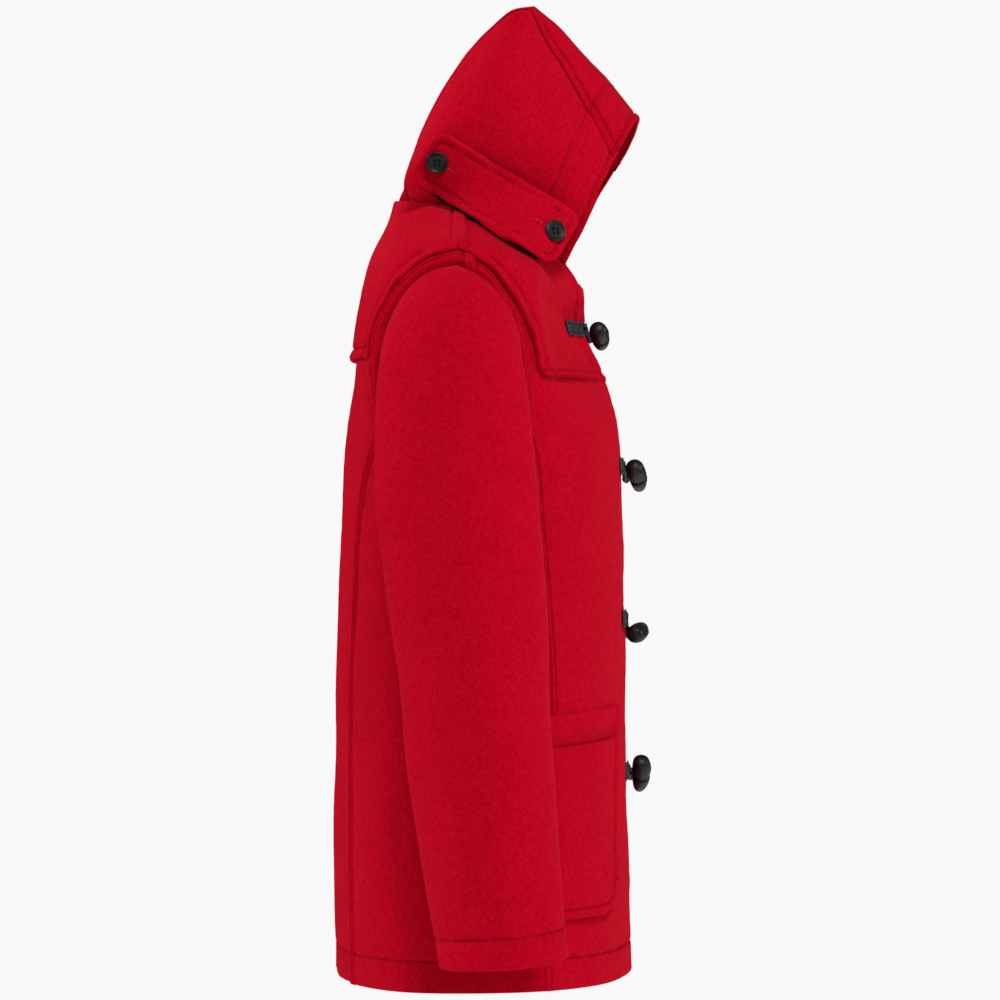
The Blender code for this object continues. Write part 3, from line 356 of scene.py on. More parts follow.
# Painted shade: flat near-black for the inside of the button holes.
HOLE_SHADE = plain_dark("button_hole_painted_shade", ("020202", "060606"), 0.8)
# The tab's dark facing, also used as the painted shadow line below the tab's lower edge.
TAB_BACKING_SHADOW = plain_dark("tab_backing_and_painted_shadow", ("020303", "070A09"), 0.9)


# ------------------------ curves
def smooth(rows, key, column, at):
    """A column's value at a place along the key, on a smooth curve through the rows."""
    k, v = rows[key], rows[column]
    slope = np.gradient(v, k)
    slope[1:-1] = (v[2:] - v[:-2]) / (k[2:] - k[:-2])
    i = np.clip(np.searchsorted(k, at) - 1, 0, len(k) - 2)
    span = k[i + 1] - k[i]
    t = (at - k[i]) / span
    return ((2 * t**3 - 3 * t**2 + 1) * v[i] + (t**3 - 2 * t**2 + t) * span * slope[i]
            + (3 * t**2 - 2 * t**3) * v[i + 1] + (t**3 - t**2) * span * slope[i + 1])


def dense(points, steps=16):
    """Points on a smooth curve, or rows on a smooth sheet, through the given ones."""
    p = np.asarray(points, float)
    before = np.concatenate([p[:1], p[:-2]])
    after = np.concatenate([p[2:], p[-1:]])
    t = (np.arange(steps) / steps).reshape((1, steps) + (1,) * (p.ndim - 1))
    p0, p1, p2, p3 = (q[:, None] for q in (before, p[:-1], p[1:], after))
    fine = 0.5 * (2 * p1 + (p2 - p0) * t + (2 * p0 - 5 * p1 + 4 * p2 - p3) * t**2
                  + (3 * p1 - p0 - 3 * p2 + p3) * t**3)
    return np.concatenate([fine.reshape((-1,) + p.shape[1:]), p[-1:]])


def lengths(lines):
    """Distance from the first point along each row of points."""
    steps = np.linalg.norm(np.diff(lines, axis=-2), axis=-1)
    return np.concatenate([np.zeros(steps.shape[:-1] + (1,)), np.cumsum(steps, -1)], -1)


def read(rows, at):
    """The second column of a table of two, at this place along the first."""
    return np.interp(at, *rows.values())


def at_distances(line, distances):
    run = lengths(line)
    return np.stack([np.interp(distances, run, line[:, k]) for k in range(line.shape[1])], -1)


def along(points, shares):
    """Points at these shares of the length of a smooth curve."""
    line = dense(points)
    return at_distances(line, np.asarray(shares) * lengths(line)[-1])


EDGE_MARKS = (0.0, 0.0004, 0.0010, 0.0018, 0.0028)


def marks(lines):
    """Distances from an edge that need a point: its rounding, and both banks of each line along it."""
    places = set(EDGE_MARKS)
    for line in lines:
        places |= {round(line + k * 0.0010, 5) for k in (-2, -1, 0, 1, 2)}
    return np.array(sorted(p for p in places if p >= 0))


def respaced(lines, middle, first=(), last=()):
    """Each row of points spaced anew, close at its ends and by the lines there; None leaves an end plain."""
    a, b = (np.zeros(1) if ends is None else marks(ends) for ends in (first, last))
    result = []
    for line in lines:
        total = lengths(line)[-1]
        room = total - a[-1] - b[-1]
        squeeze = min(1.0, total * 0.8 / (a[-1] + b[-1])) if room < total * 0.2 else 1.0
        start, end = a * squeeze, b * squeeze
        between = np.linspace(start[-1], total - end[-1], middle + 1)[1:-1]
        result.append(at_distances(line, np.concatenate([start, between, total - end[::-1]])))
    return np.stack(result)


def fine_grid(grid, columns, rows, lines=(), cuts=()):
    """A dense grid spaced anew both ways.

    lines gives how far in the lines along its sides l, r, b and t run;
    cuts are the dense rows at which its sides turn a corner.
    """
    left, right, bottom, top = ([d for sides, near in dict(lines).items() if side in sides for d in near]
                                for side in "lrbt")
    grid = respaced(grid, columns, left, right)
    ends = [0, *cuts, len(grid) - 1]
    parts = []
    for n, (a, b) in enumerate(zip(ends, ends[1:])):
        block = respaced(grid[a:b + 1].swapaxes(0, 1), rows[n], None if n else bottom,
                         None if n < len(ends) - 2 else top).swapaxes(0, 1)
        parts.append(block[min(n, 1):])
    return np.concatenate(parts)


def unit(v):
    return v / np.maximum(np.linalg.norm(v, axis=-1, keepdims=True), 1e-12)


def grid_normals(grid, wrap=False):
    if wrap:
        round_it = np.roll(grid, -1, 1) - np.roll(grid, 1, 1)
    else:
        round_it = np.gradient(grid, axis=1)
    return unit(np.cross(round_it, np.gradient(grid, axis=0)))


# ------------------------ the body's surface
def step_up(value, low, high):
    """0 before low, 1 after high, and smooth between them."""
    t = np.clip((value - low) / (high - low), 0, 1)
    return t * t * (3 - 2 * t)


def ring(level):
    return {c: smooth(BODY, "level", c, level) for c in BODY if c != "level"}


def either(r, front, column):
    """A column of the front's or of the back's half of the rings."""
    return np.where(front, r["front_" + column], r["back_" + column])


def chest_fall(level, x, towards):
    """How far back the front lies beside the buttoned strip; towards is 1 at the centre front."""
    beside = np.maximum(np.maximum(CHEST_STRIP[0] - x, x - CHEST_STRIP[1]), 0)
    high = step_up(level, *CHEST_FALL_LOW) * (1 - step_up(level, *CHEST_FALL_HIGH))
    return CHEST_FALL * (1 - np.exp(-beside / CHEST_FALL_LENGTH)) * step_up(towards, *CHEST_FALL_ROUND) * high


def body_point(level, angle):
    """Points of the coat's outer surface; angle 0 is the centre front, 90 degrees the wearer's right."""
    level, angle = np.broadcast_arrays(np.asarray(level, float), np.asarray(angle, float))
    r = ring(level)
    front = np.cos(angle) > 0
    power = 2 / either(r, front, "n")
    across = np.sign(np.sin(angle)) * np.abs(np.sin(angle)) ** power
    towards = np.abs(np.cos(angle)) ** power
    y_end, z_end = (either(r, front, column) for column in "yz")
    x = -r["half_width"] * across
    fall = np.where(front, chest_fall(level, x, towards), 0.0)
    return np.stack([x, SHOULDER_Y + (y_end - SHOULDER_Y) * towards + fall,
                     level + (z_end - level) * towards**RISE_POWER], -1)


def body_normal(level, angle):
    step = 0.02
    lower, upper = np.maximum(level - 0.004, HEM_LEVEL), np.minimum(level + 0.004, NECK_LEVEL)
    round_body = body_point(level, angle + step) - body_point(level, angle - step)
    return unit(np.cross(body_point(upper, angle) - body_point(lower, angle), round_body))


def angle_at_y(level, y):
    r = ring(level)
    front = y < SHOULDER_Y
    share = (y - SHOULDER_Y) / (either(r, front, "y") - SHOULDER_Y)
    cosine = np.clip(share, 0, 1) ** (either(r, front, "n") / 2)
    return np.arccos(np.where(front, cosine, -cosine))


def angle_at_x(level, x):
    r = ring(level)
    return -np.sign(x) * np.arcsin(np.abs(x / r["half_width"]) ** (r["front_n"] / 2))


ROWS_LOW, ROWS_ARM, ROWS_SHOULDER = 170, 56, 20


def arc(part, shares):
    return along([(a, b, 0.0) for a, b in ARMHOLE[part]], shares)


def edge_places(part):
    """Level and angle of each row's end: up the side seam, round the armhole, up the shoulder seam."""
    low = np.linspace(HEM_LEVEL, ARMHOLE_CORNER, ROWS_LOW + 1)
    places = [(low, angle_at_y(low, smooth(SIDE_SEAMS, "level", part, low)))]
    bend = arc(part, np.linspace(0, 1, ROWS_ARM + 1)[1:-1])
    places.append((bend[:, 0], angle_at_y(bend[:, 0], bend[:, 1])))
    top = np.linspace(ARMHOLE_TOP, NECK_LEVEL, ROWS_SHOULDER + 1)
    places.append((top, np.full(len(top), math.pi / 2)))
    return [np.concatenate(column) for column in zip(*places)]


CORNERS = (ROWS_LOW, ROWS_LOW + ROWS_ARM)


# ------------------------ relief and meshes
def ripple(points, size, seed, waves=9):
    """A smooth, repeatable unevenness between about -1 and 1; size is the length of its waves."""
    rng = np.random.default_rng(seed)
    ways = unit(rng.normal(size=(waves, 3)))
    pitch = 2 * math.pi / (size * rng.uniform(0.6, 1.7, waves))
    phase = rng.uniform(0, 2 * math.pi, waves)
    total = sum(np.sin(points @ way * k + p) for way, k, p in zip(ways, pitch, phase))
    return total / math.sqrt(waves)


def bump(distance, width):
    return np.exp(-(distance / width) ** 2)


CREASE_ENDS = 0.35       # share of its depth that a crease has at its ends


def crease(points, start, end, width, depth):
    """A soft trough, or a ridge where depth is negative, that fades out at both its ends."""
    start, end = np.array(start), np.array(end)
    way = end - start
    share = np.clip(((points - start) @ way) / (way @ way), 0, 1)
    off = np.linalg.norm(points - (start + share[..., None] * way), axis=-1)
    return -depth * bump(off, width) * (CREASE_ENDS + (1 - CREASE_ENDS) * np.sin(math.pi * share))


STITCH_DIP = 0.00190     # how deep a sewn line pulls into the cloth
STITCH_BANKS = 0.00145   # half the width of the groove
EDGE_ROUND = 0.0019
PUFF = 0.00080           # how far cloth stands up between an edge and its sewn line
PUFF_SHAPE = 0.45        # below 1 puts the top of the puff nearer to the edge
FELTING, FELTING_SIZE = 0.00012, 0.011
LAP_HEIGHT, LAP_BANK = 0.0018, 0.0011
FACING_DEPTH = 0.0440    # the hood's facing, back from the face edge
FACING_RISE = 0.0010     # the facing makes the cloth this much thicker
INNER_STEP = 3           # the inner face has one point for this many of the outer face's
POINTS_MEET = 1e-6


def raised(value, low, high, bank):
    """1 between low and high, and 0 outside them, with banks of this half width."""
    return step_up(value, low - bank, low + bank) - step_up(value, high - bank, high + bank)


class Cloth:
    """A grid of points on the cloth's outer face, with its distances from the four sides l, r, b and t."""

    def __init__(self, grid, centre, wrap=False):
        self.grid, self.wrap = grid, wrap
        normals = grid_normals(grid, wrap)
        self.normals = normals * np.sign(np.sum(normals * (grid - centre)))
        across, up = lengths(grid), lengths(grid.swapaxes(0, 1)).swapaxes(0, 1)
        self.off = {"l": across, "r": across[:, -1:] - across, "b": up, "t": up[-1:] - up}
        self.rise, self.edge, self.puffed = (np.zeros(grid.shape[:2]) for _ in range(3))
        self.seams = []

    def rounded(self, sides, amount=EDGE_ROUND):
        for side in sides:
            inside = np.clip(1 - self.off[side] / amount, 0, 1)
            self.edge = np.minimum(self.edge, -amount * (1 - np.sqrt(1 - inside**2)))
        return self

    def pressed(self, off, depth, width, where=1.0):
        """A soft trough along the line where off is 0, or a ridge where depth is negative."""
        self.rise -= depth * bump(off, width) * where
        return self

    def sewn(self, sides, distance, keep=None, dip=STITCH_DIP, puff=PUFF, threads=True):
        """A sewn line beside each side: the groove, the cloth's puff towards the edge, and its stitches."""
        where = 1.0 if keep is None else keep(self.grid)
        for side in sides:
            off = self.off[side]
            uneven = 1 + 0.35 * ripple(self.grid, 0.016, 5)
            self.pressed(off - distance, dip * uneven, STITCH_BANKS, where)
            puffed = (puff * np.sin(np.clip(off / distance, 0, 1) ** PUFF_SHAPE * math.pi) * where
                      * (1 + 0.3 * ripple(self.grid, 0.024, 8)))
            self.rise += np.maximum(puffed - self.puffed, 0)
            self.puffed = np.maximum(self.puffed, puffed)
            if threads:
                self.seams.append((side, distance, keep))
        return self

    def lapped(self, sides, width):
        """A raised strip along each side, where two edges are folded together, and the dip beside it."""
        for side in sides:
            off = self.off[side]
            on_strip = 1 - step_up(off, width - LAP_BANK, width + LAP_BANK)
            self.rise += LAP_HEIGHT * on_strip * step_up(off, -0.0006, 0.0012)
            self.pressed(off - width - LAP_BANK, depth=0.0007, width=LAP_BANK)
        return self

    def faced(self, side, off):
        """The sewn line of a facing laid by the distance off, and the thicker cloth in front of it."""
        self.off[side] = off
        self.sewn(side, FACING_DEPTH, puff=0.0)
        self.rise += FACING_RISE * (1 - step_up(off, FACING_DEPTH - 0.0015, FACING_DEPTH + 0.0005))
        return self

    def uneven(self, amount, size, seed, sides, clear=0.02):
        """Broad unevenness, and finer felting, that die out towards the seams."""
        calm = np.ones(self.rise.shape)
        for side in sides:
            calm = calm * step_up(self.off[side], 0.0, clear)
        self.rise += amount * ripple(self.grid, size, seed) * calm
        self.rise += FELTING * ripple(self.grid, FELTING_SIZE, seed + 50) * calm
        return self

    def creased(self, *rows):
        for start, end, width, depth in rows:
            self.rise += crease(self.grid, start, end, width, depth)
        return self

    def points(self):
        return self.grid + self.normals * (self.rise + self.edge)[..., None]

    def underside(self, wall):
        """The inner face: it follows the dips, and lies flat under puffed and rounded places."""
        return self.grid + self.normals * (np.minimum(self.rise, 0) - wall)[..., None]

    def seam_lines(self):
        """The sewn lines as rows of points and outward directions, on the finished face."""
        face, lines = self.points(), []
        for side, distance, keep in self.seams:
            off, rows, ups = self.off[side], face, self.normals
            if side not in "lrR":
                off, rows, ups = off.T, face.swapaxes(0, 1), ups.swapaxes(0, 1)
            line = []
            for run, row, up in zip(off, rows, ups):
                order = np.argsort(run)
                place, way = ([np.interp(distance, run[order], v[order, k]) for k in range(3)]
                              for v in (row, up))
                inside = keep is None or keep(np.array(place)) > 0.5
                if run.min() < distance < run.max() and inside:
                    line.append((place, way))
            if len(line) > 3:
                lines.append(line)
        return lines


def new_object(name, data, *materials):
    for material in materials:
        data.materials.append(material)
    item = bpy.data.objects.new(name, data)
    bpy.context.scene.collection.objects.link(item)
    return item


def grid_faces(rows, columns, closed, start=0):
    """The four-sided faces of a grid of points numbered from start; closed joins the ends of its rows."""
    i, j = np.meshgrid(np.arange(rows - 1), np.arange(columns if closed else columns - 1), indexing="ij")
    k = (j + 1) % columns
    quads = np.stack([i * columns + j, i * columns + k, (i + 1) * columns + k, (i + 1) * columns + j], -1)
    return (quads.reshape(-1, 4) + start).tolist()


def smooth_mesh(name, verts, faces, cloth=False):
    """A closed mesh with its faces turned outwards; on cloth, points may meet and faces have many sides."""
    mesh = bpy.data.meshes.new(name)
    mesh.from_pydata(verts, [], faces)
    shape = bmesh.new()
    shape.from_mesh(mesh)
    if cloth:
        bmesh.ops.remove_doubles(shape, verts=shape.verts, dist=POINTS_MEET)
    bmesh.ops.recalc_face_normals(shape, faces=shape.faces)
    if cloth:
        if shape.calc_volume(signed=True) < 0:
            bmesh.ops.reverse_faces(shape, faces=shape.faces)
        bmesh.ops.triangulate(shape, faces=[f for f in shape.faces if len(f.verts) > 4])
    shape.to_mesh(mesh)
    shape.free()
    mesh.shade_smooth()
    return mesh


def cloth_mesh(cloth, wall=WALL, mirror=False):
    """A closed shell: the outer face, the coarser inner face, and the rim."""
    outer, wrap = cloth.points(), cloth.wrap
    rows, columns = outer.shape[:2]
    pick_r, pick_c = (np.unique(np.r_[0:count:INNER_STEP, count - 1]) for count in (rows, columns))
    if wrap:
        pick_c = np.arange(0, columns, INNER_STEP)
    inner = cloth.underside(wall)[np.ix_(pick_r, pick_c)]
    tall, wide = inner.shape[:2]
    verts = np.concatenate([outer.reshape(-1, 3), inner.reshape(-1, 3)])
    if mirror:
        verts = verts * (-1, 1, 1)
    start = rows * columns
    faces = grid_faces(rows, columns, wrap)
    faces += [face[::-1] for face in grid_faces(tall, wide, wrap, start)]
    outer_ids = np.arange(start).reshape(rows, columns)
    inner_ids = start + np.arange(tall * wide).reshape(tall, wide)

    def rim(outer_row, inner_row, picks, turn):
        """One many-sided face for each step of the inner face's edge."""
        for n, (low, high) in enumerate(zip(picks, picks[1:])):
            face = np.r_[outer_row[low:high + 1], inner_row[n + 1], inner_row[n]].tolist()
            faces.append(face[::-1] if turn else face)

    if wrap:
        outer_ids, inner_ids = (np.c_[ids, ids[:, 0]] for ids in (outer_ids, inner_ids))
        pick_c = np.r_[pick_c, columns]
    rim(outer_ids[0], inner_ids[0], pick_c, True)
    rim(outer_ids[-1], inner_ids[-1], pick_c, False)
    if not wrap:
        rim(outer_ids[:, 0], inner_ids[:, 0], pick_r, False)
        rim(outer_ids[:, -1], inner_ids[:, -1], pick_r, True)
    return smooth_mesh("cloth", verts.tolist(), faces, cloth=True)


# ------------------------ body panels and yoke
BODY_CENTRE = (0.0, 0.0, -0.35)
SEAM_GAP = 0.00015       # each panel stops this short of the seam's middle
LAP_WIDTH = 0.0088
LAP_STITCH = 0.0044
HEM_STITCH = 0.0270
HEM_PUFF = 0.0006
PANEL_ROWS = (150, 40, 14)        # up the side seam, round the armhole and up the shoulder
SHOULDER_LAP = (0.0160, 0.0262)   # the lapped shoulder seam lies between these y
SHOULDER_LAP_HEIGHT = 0.0019
SHOULDER_LAP_FROM = (-0.12, -0.09)


def inset(grid, sides="lrbt", amount=SEAM_GAP):
    """The grid with its edge points moved inwards by a seam's half gap."""
    grid = grid.copy()
    for side, edge, beside in (("l", np.s_[:, 0], np.s_[:, 1]), ("r", np.s_[:, -1], np.s_[:, -2]),
                               ("b", np.s_[0], np.s_[1]), ("t", np.s_[-1], np.s_[-2])):
        if side in sides:
            way = grid[beside] - grid[edge]
            grid[edge] += unit(way) * np.minimum(amount, 0.4 * np.linalg.norm(way, axis=-1, keepdims=True))
    return grid


def panel(grid, columns, rows, lines, cuts=(), seams="lrbt", centre=BODY_CENTRE):
    """The cloth on a dense grid, which stops a seam's half gap short on the sides named."""
    return Cloth(inset(fine_grid(grid, columns, rows, lines, cuts), seams), centre)


def fan(first, last, steps):
    """Even steps from each row's first value to its last."""
    return first[:, None] + (last - first)[:, None] * np.linspace(0, 1, steps + 1)


def distance_to(line, grid):
    """How far each point of a grid is from a row of points, filled in closely."""
    close = at_distances(line, np.linspace(0, lengths(line)[-1], 360))
    return np.stack([np.linalg.norm(row[:, None] - close[None], axis=-1).min(1) for row in grid])


def shoulder_lap(cloth, keep):
    """The raised strip over the shoulder, with a sunk line down both its sides."""
    y, (low, high) = cloth.grid[..., 1], SHOULDER_LAP
    above = step_up(cloth.grid[..., 2], *SHOULDER_LAP_FROM) * keep
    cloth.rise += SHOULDER_LAP_HEIGHT * above * raised(y, low, high, LAP_BANK)
    for line in (low - LAP_BANK, high + LAP_BANK):
        cloth.pressed(y - line, depth=0.0010, width=LAP_BANK, where=above)
    return cloth


def back_panel():
    levels, edge = edge_places("back")
    grid = body_point(levels[:, None], fan(edge, 2 * math.pi - edge, 140))
    cloth = panel(grid, 110, PANEL_ROWS, {"b": [HEM_STITCH]}, CORNERS)
    return cloth.rounded("bt").uneven(0.0012, 0.13, 3, "lrt").sewn("b", HEM_STITCH, puff=HEM_PUFF)


FACING_STITCH = 0.0065
FRONT_TOP = -0.0772              # height of the fronts' flat top edge
FRONT_TOP_FROM = (-0.050, -0.040)
LEFT_SUNK_TO = (0.047, 0.085)    # x where the left front comes out from under the right one
FACING_LINE = table("z  x", (-0.72, 0.1215), (-0.62, 0.1170), (-0.52, 0.1060), (-0.42, 0.0930),
                    (-0.30, 0.0800), (-0.16, 0.0660))
FACING_LINE_TOP = (-0.192, -0.188)


def front_panel(right):
    levels, edge = edge_places("front")
    if right:
        grid = body_point(levels[:, None], fan(edge, 0 * edge, 120))
        flap = np.repeat(grid[:, -1:], 14, 1)
        flap[..., 0] = np.linspace(0, OVERLAP, 15)[1:]
        grid = np.concatenate([grid, flap], 1)
    else:
        level, angle = levels[:, None], fan(-edge, angle_at_x(levels, -OVERLAP), 150)
        grid = body_point(level, angle)
        sunk = 1 - step_up(grid[..., 0], *LEFT_SUNK_TO)
        grid -= body_normal(level + 0 * angle, angle) * (sunk * (WALL + 0.0006))[..., None]
    sign = 1 if right else -1
    top = grid[-1]
    cut = np.maximum(top[:, 2] - FRONT_TOP, 0) * step_up(sign * top[:, 0], *FRONT_TOP_FROM)
    grid[..., 2] -= cut * step_up(grid[..., 2], FRONT_TOP - 0.035, np.maximum(top[:, 2], FRONT_TOP - 0.03))
    cloth = panel(grid, 100, PANEL_ROWS, {"rt": [FACING_STITCH], "b": [HEM_STITCH]}, CORNERS).rounded("rbt")
    cloth.uneven(0.0009, 0.11, 7 if right else 8, "lt").sewn("b", HEM_STITCH, puff=HEM_PUFF)
    # The sewn line that holds the front facing, well back from the front edge.
    x, height = cloth.grid[..., 0], cloth.grid[..., 2]
    off = -sign * x - read(FACING_LINE, height)
    return cloth.sewn("r", FACING_STITCH).pressed(off, depth=0.0012, width=0.0014,
                                                  where=1 - step_up(height, *FACING_LINE_TOP))


def neck_facing(half_angle=0.80, inside=0.0075, stands=0.0095, steps=30):
    """The inner neck edge that stands up behind the fronts' top edge, between the hood's two ends."""
    angle = np.linspace(-half_angle, half_angle, 91)
    top = body_point(NECK_LEVEL, angle) - body_normal(NECK_LEVEL, angle) * inside
    top[:, 2] += stands * (1 - step_up(np.abs(angle), 0.1, 0.65))
    grid = np.repeat(top[None], steps + 1, 0)
    low = FRONT_TOP - 0.020
    grid[..., 2] = low + (top[:, 2] - 0.0030 - low) * np.linspace(0, 1, steps + 1)[:, None]
    cloth = Cloth(grid, BODY_CENTRE).rounded("t", 0.0026)
    cloth.rise += 0.0012 * np.sin(np.clip(cloth.off["t"] / 0.010, 0, 1) * math.pi)
    return cloth


def side_panel():
    across = np.linspace(0, 1, 61)
    top = arc("under", across)
    level_at_edge = np.minimum(top[:, 0], ARMHOLE_CORNER)
    front, back = (smooth(SIDE_SEAMS, "level", part, level_at_edge) for part in ("front", "back"))
    share = (top[:, 1] - front) / (back - front)
    level = HEM_LEVEL + (top[:, 0] - HEM_LEVEL) * np.linspace(0, 1, ROWS_LOW + 1)[:, None]
    front, back = (smooth(SIDE_SEAMS, "level", part, level) for part in ("front", "back"))
    grid = body_point(level, angle_at_y(level, front + (back - front) * share))
    cloth = panel(grid, 46, PANEL_ROWS[:1], {"lr": [LAP_STITCH, LAP_WIDTH], "b": [HEM_STITCH]})
    cloth.uneven(0.0010, 0.10, 11, "lrt").lapped("lr", LAP_WIDTH).rounded("lrb", 0.0012)
    return cloth.sewn("lr", LAP_STITCH, puff=0.0002).sewn("b", HEM_STITCH, puff=HEM_PUFF)


YOKE_STITCH = 0.0098
YOKE_ROUND = 0.0019
YOKE_WALL = 0.0031
YOKE_PUFF = 0.0022
YOKE_DIP = 0.0023


def yoke(part, sign=1):
    behind = part == "back"
    lowest = YOKE_BACK_LEVEL if behind else YOKE_FRONT_LEVEL
    levels, edge = edge_places(part)
    # Its lower edge, the panel's rows above it, and the neck edge.
    rows = np.concatenate([[lowest], levels[levels > lowest + 0.0008][:-1], [NECK_LEVEL - YOKE_NECK_SETBACK]])
    edge = np.interp(rows, levels, edge)
    if behind:
        angle = fan(edge, 2 * math.pi - edge, 140)
    else:
        slant = YOKE_EDGE_SLANT * step_up(rows, YOKE_SLANT_LEVEL, NECK_LEVEL)
        x = YOKE_RIGHT_EDGE - slant if sign > 0 else YOKE_LEFT_EDGE + 0 * rows
        angle = fan(sign * edge, angle_at_x(rows, x), 140)
    level = rows[:, None] + 0 * angle
    grid = body_point(level, angle) + body_normal(level, angle) * (YOKE_LIFT + WALL)
    if not behind:
        down = (ARMHOLE_TOP - rows) / (ARMHOLE_TOP - YOKE_FRONT_LEVEL)
        setback = YOKE_SETBACK * np.clip(down * YOKE_SETBACK_RISE, 0, 1)
        height = np.clip((rows - lowest) / YOKE_CORNER_HEIGHT, 0, 1)
        setback += YOKE_CORNER * (1 - np.sqrt(1 - (1 - height) ** 2))
        grid = np.stack([at_distances(row, in_by + (run[-1] - in_by) * np.linspace(0, 1, 141))
                         for row, run, in_by in zip(grid, lengths(grid), setback)])
    corner = int(np.argmin(np.abs(rows - ARMHOLE_TOP)))
    free_edges = {"l": grid[:corner + 1, 0], "r": grid[:corner + 1, -1]}
    sides = "lr" if behind else "l"
    lines = {sides: [abs(SHOULDER_LAP[behind] - SHOULDER_Y)], "lrb": [YOKE_STITCH]}
    cloth = panel(grid, 110 if behind else 70, (44, 16), lines, (corner,), "t")
    cloth.uneven(0.0008, 0.07, 21 if behind else 22, sides + "t")
    for side in sides:
        cloth.off[side] = distance_to(free_edges[side], cloth.grid)
    cloth.rounded("lrb", YOKE_ROUND).sewn(sides + "b", YOKE_STITCH, None, YOKE_DIP, YOKE_PUFF)
    if not behind:
        cloth.sewn("r", YOKE_STITCH, None, YOKE_DIP, YOKE_PUFF * 0.5)
    inside = np.minimum.reduce([cloth.off[side] for side in sides])
    return shoulder_lap(cloth, step_up(inside, YOKE_STITCH - 0.003, YOKE_STITCH + 0.001))


# ------------------------ armhole bands and sleeves
CROSS_LAP = (0.0064, 0.0170)      # the little strip that crosses the band at the shoulder, between these y
CROSS_LAP_BANK = 0.0007
# Armhole band across its width, from the body to the sleeve.
BAND_PROFILE = table("share  rise", (0.00, -0.0034), (0.04, -0.0028), (0.075, 0.0010), (0.11, 0.0030),
                     (0.17, 0.0040), (0.24, 0.0042), (0.30, 0.0036), (0.36, 0.0016), (0.42, 0.0036),
                     (0.50, 0.0044), (0.64, 0.0046), (0.78, 0.0042), (0.88, 0.0032), (0.95, 0.0014),
                     (1.00, -0.0008))
BAND_SPAN = (0.02, 0.99) # shares of the way from the armhole edge to the sleeve seam
BAND_TOP = (-0.14, -0.10)         # the cross strip fades in between these heights
BAND_GROOVE = 0.36       # where along its width the band is sewn down
BAND_OUT = 0.0042        # how far its middle is held out sideways by the seam allowances inside
CUFF_STITCH = 0.0262
SLEEVE_CENTRE = (-0.27, 0.01, -0.35)
SLEEVE_CREASES = (
    ((-0.290, -0.040, -0.330), (-0.318, 0.000, -0.352), 0.016, 0.0012),
    ((-0.300, 0.060, -0.300), (-0.318, 0.012, -0.330), 0.018, 0.0010),
    ((-0.230, -0.045, -0.300), (-0.290, -0.040, -0.280), 0.015, 0.0012),
)


def arm_loop():
    """Armhole edge, its normals and the sleeve seam of the right side, point by point round the arm."""
    front = arc("front", np.linspace(0, 1, 121))[::-1]
    under = arc("under", np.linspace(0, 1, 61))[1:]
    back = arc("back", np.linspace(0, 1, 121))[1:-1]
    loop = np.concatenate([front, under, back])[:, :2]
    angle = angle_at_y(loop[:, 0], loop[:, 1])
    edge, normals = body_point(loop[:, 0], angle), body_normal(loop[:, 0], angle)
    inward = edge.mean(0) - edge
    inward[:, 0] = 0
    inward = unit(inward)
    width = BAND_WIDTH + BAND_WIDER_TOP * np.maximum(0, -inward[:, 2])
    return edge, normals, edge + inward * width[:, None] + (-BAND_STEP, 0, 0)


def armhole_band(edge, normals, seam):
    tangent = np.roll(seam, -1, 0) - np.roll(seam, 1, 0)
    away = unit(np.cross((-1.0, 0.0, 0.0), tangent))
    away *= np.sign(away[0, 2])
    slope = unit(normals + away)
    share = np.linspace(0, 1, 31)
    rows = []
    for s, rise in zip(share, read(BAND_PROFILE, share)):
        base = edge + (seam - edge) * (BAND_SPAN[0] + (BAND_SPAN[1] - BAND_SPAN[0]) * s)
        out = BAND_OUT * math.sin(math.pi * s) ** 0.35
        rows.append(base + unit(normals + (slope - normals) * s) * rise - (out, 0, 0))
    grid = np.stack(rows)
    band = Cloth(grid, grid.mean((0, 1)), wrap=True)
    y, top = grid[..., 1], step_up(grid[..., 2], *BAND_TOP)
    low, high = CROSS_LAP
    band.rise += 0.00035 * ripple(grid, 0.02, 31)
    band.rise += top * 0.0016 * raised(y, low + CROSS_LAP_BANK, high - CROSS_LAP_BANK, CROSS_LAP_BANK)
    for line in CROSS_LAP:
        band.pressed(y - line, depth=0.0012, width=0.0010, where=top)
    stitch_row = int(np.argmin(np.abs(share - BAND_GROOVE)))
    band.seams.append(("b", float(band.off["b"][stitch_row].mean()), None))
    return band


def spot(x, y, z):
    return np.stack(np.broadcast_arrays(x, y, z), -1)


def sleeve_from(seam):
    middle, (_, wide, high) = seam.mean(0), np.ptp(seam, axis=0)
    turn = np.arctan2((middle[1] - seam[:, 1]) / wide, (seam[:, 2] - middle[2]) / high)
    s = {c: v[:, None] for c, v in SLEEVE.items()}
    top_line, under_line = (spot(s[n + "_x"], s["middle_y"], s[n + "_z"]) for n in ("outer", "inner"))
    centre, arm = (top_line + under_line) / 2, (top_line - under_line) / 2
    rings = (centre + arm * np.cos(turn)[None, :, None]
             + spot(0.0 * turn, -s["half_depth"] * np.sin(turn), s["drop"] * np.sin(turn)))
    grid = dense(np.concatenate([seam[None] + (-0.0005, 0, 0), rings]), 20)
    grid = respaced(grid.swapaxes(0, 1), 170, last=[CUFF_STITCH]).swapaxes(0, 1)
    sleeve = Cloth(grid, SLEEVE_CENTRE, wrap=True)
    sleeve.rounded("b", 0.0012).rounded("t").uneven(0.0011, 0.12, 41, "bt", 0.03)
    sleeve.sewn("t", CUFF_STITCH, puff=HEM_PUFF)
    seam_off = sleeve.off["b"]
    sleeve.pressed(seam_off, depth=0.0014, width=0.004).pressed(seam_off, depth=-0.0008, width=0.022)
    return sleeve.creased(*SLEEVE_CREASES)


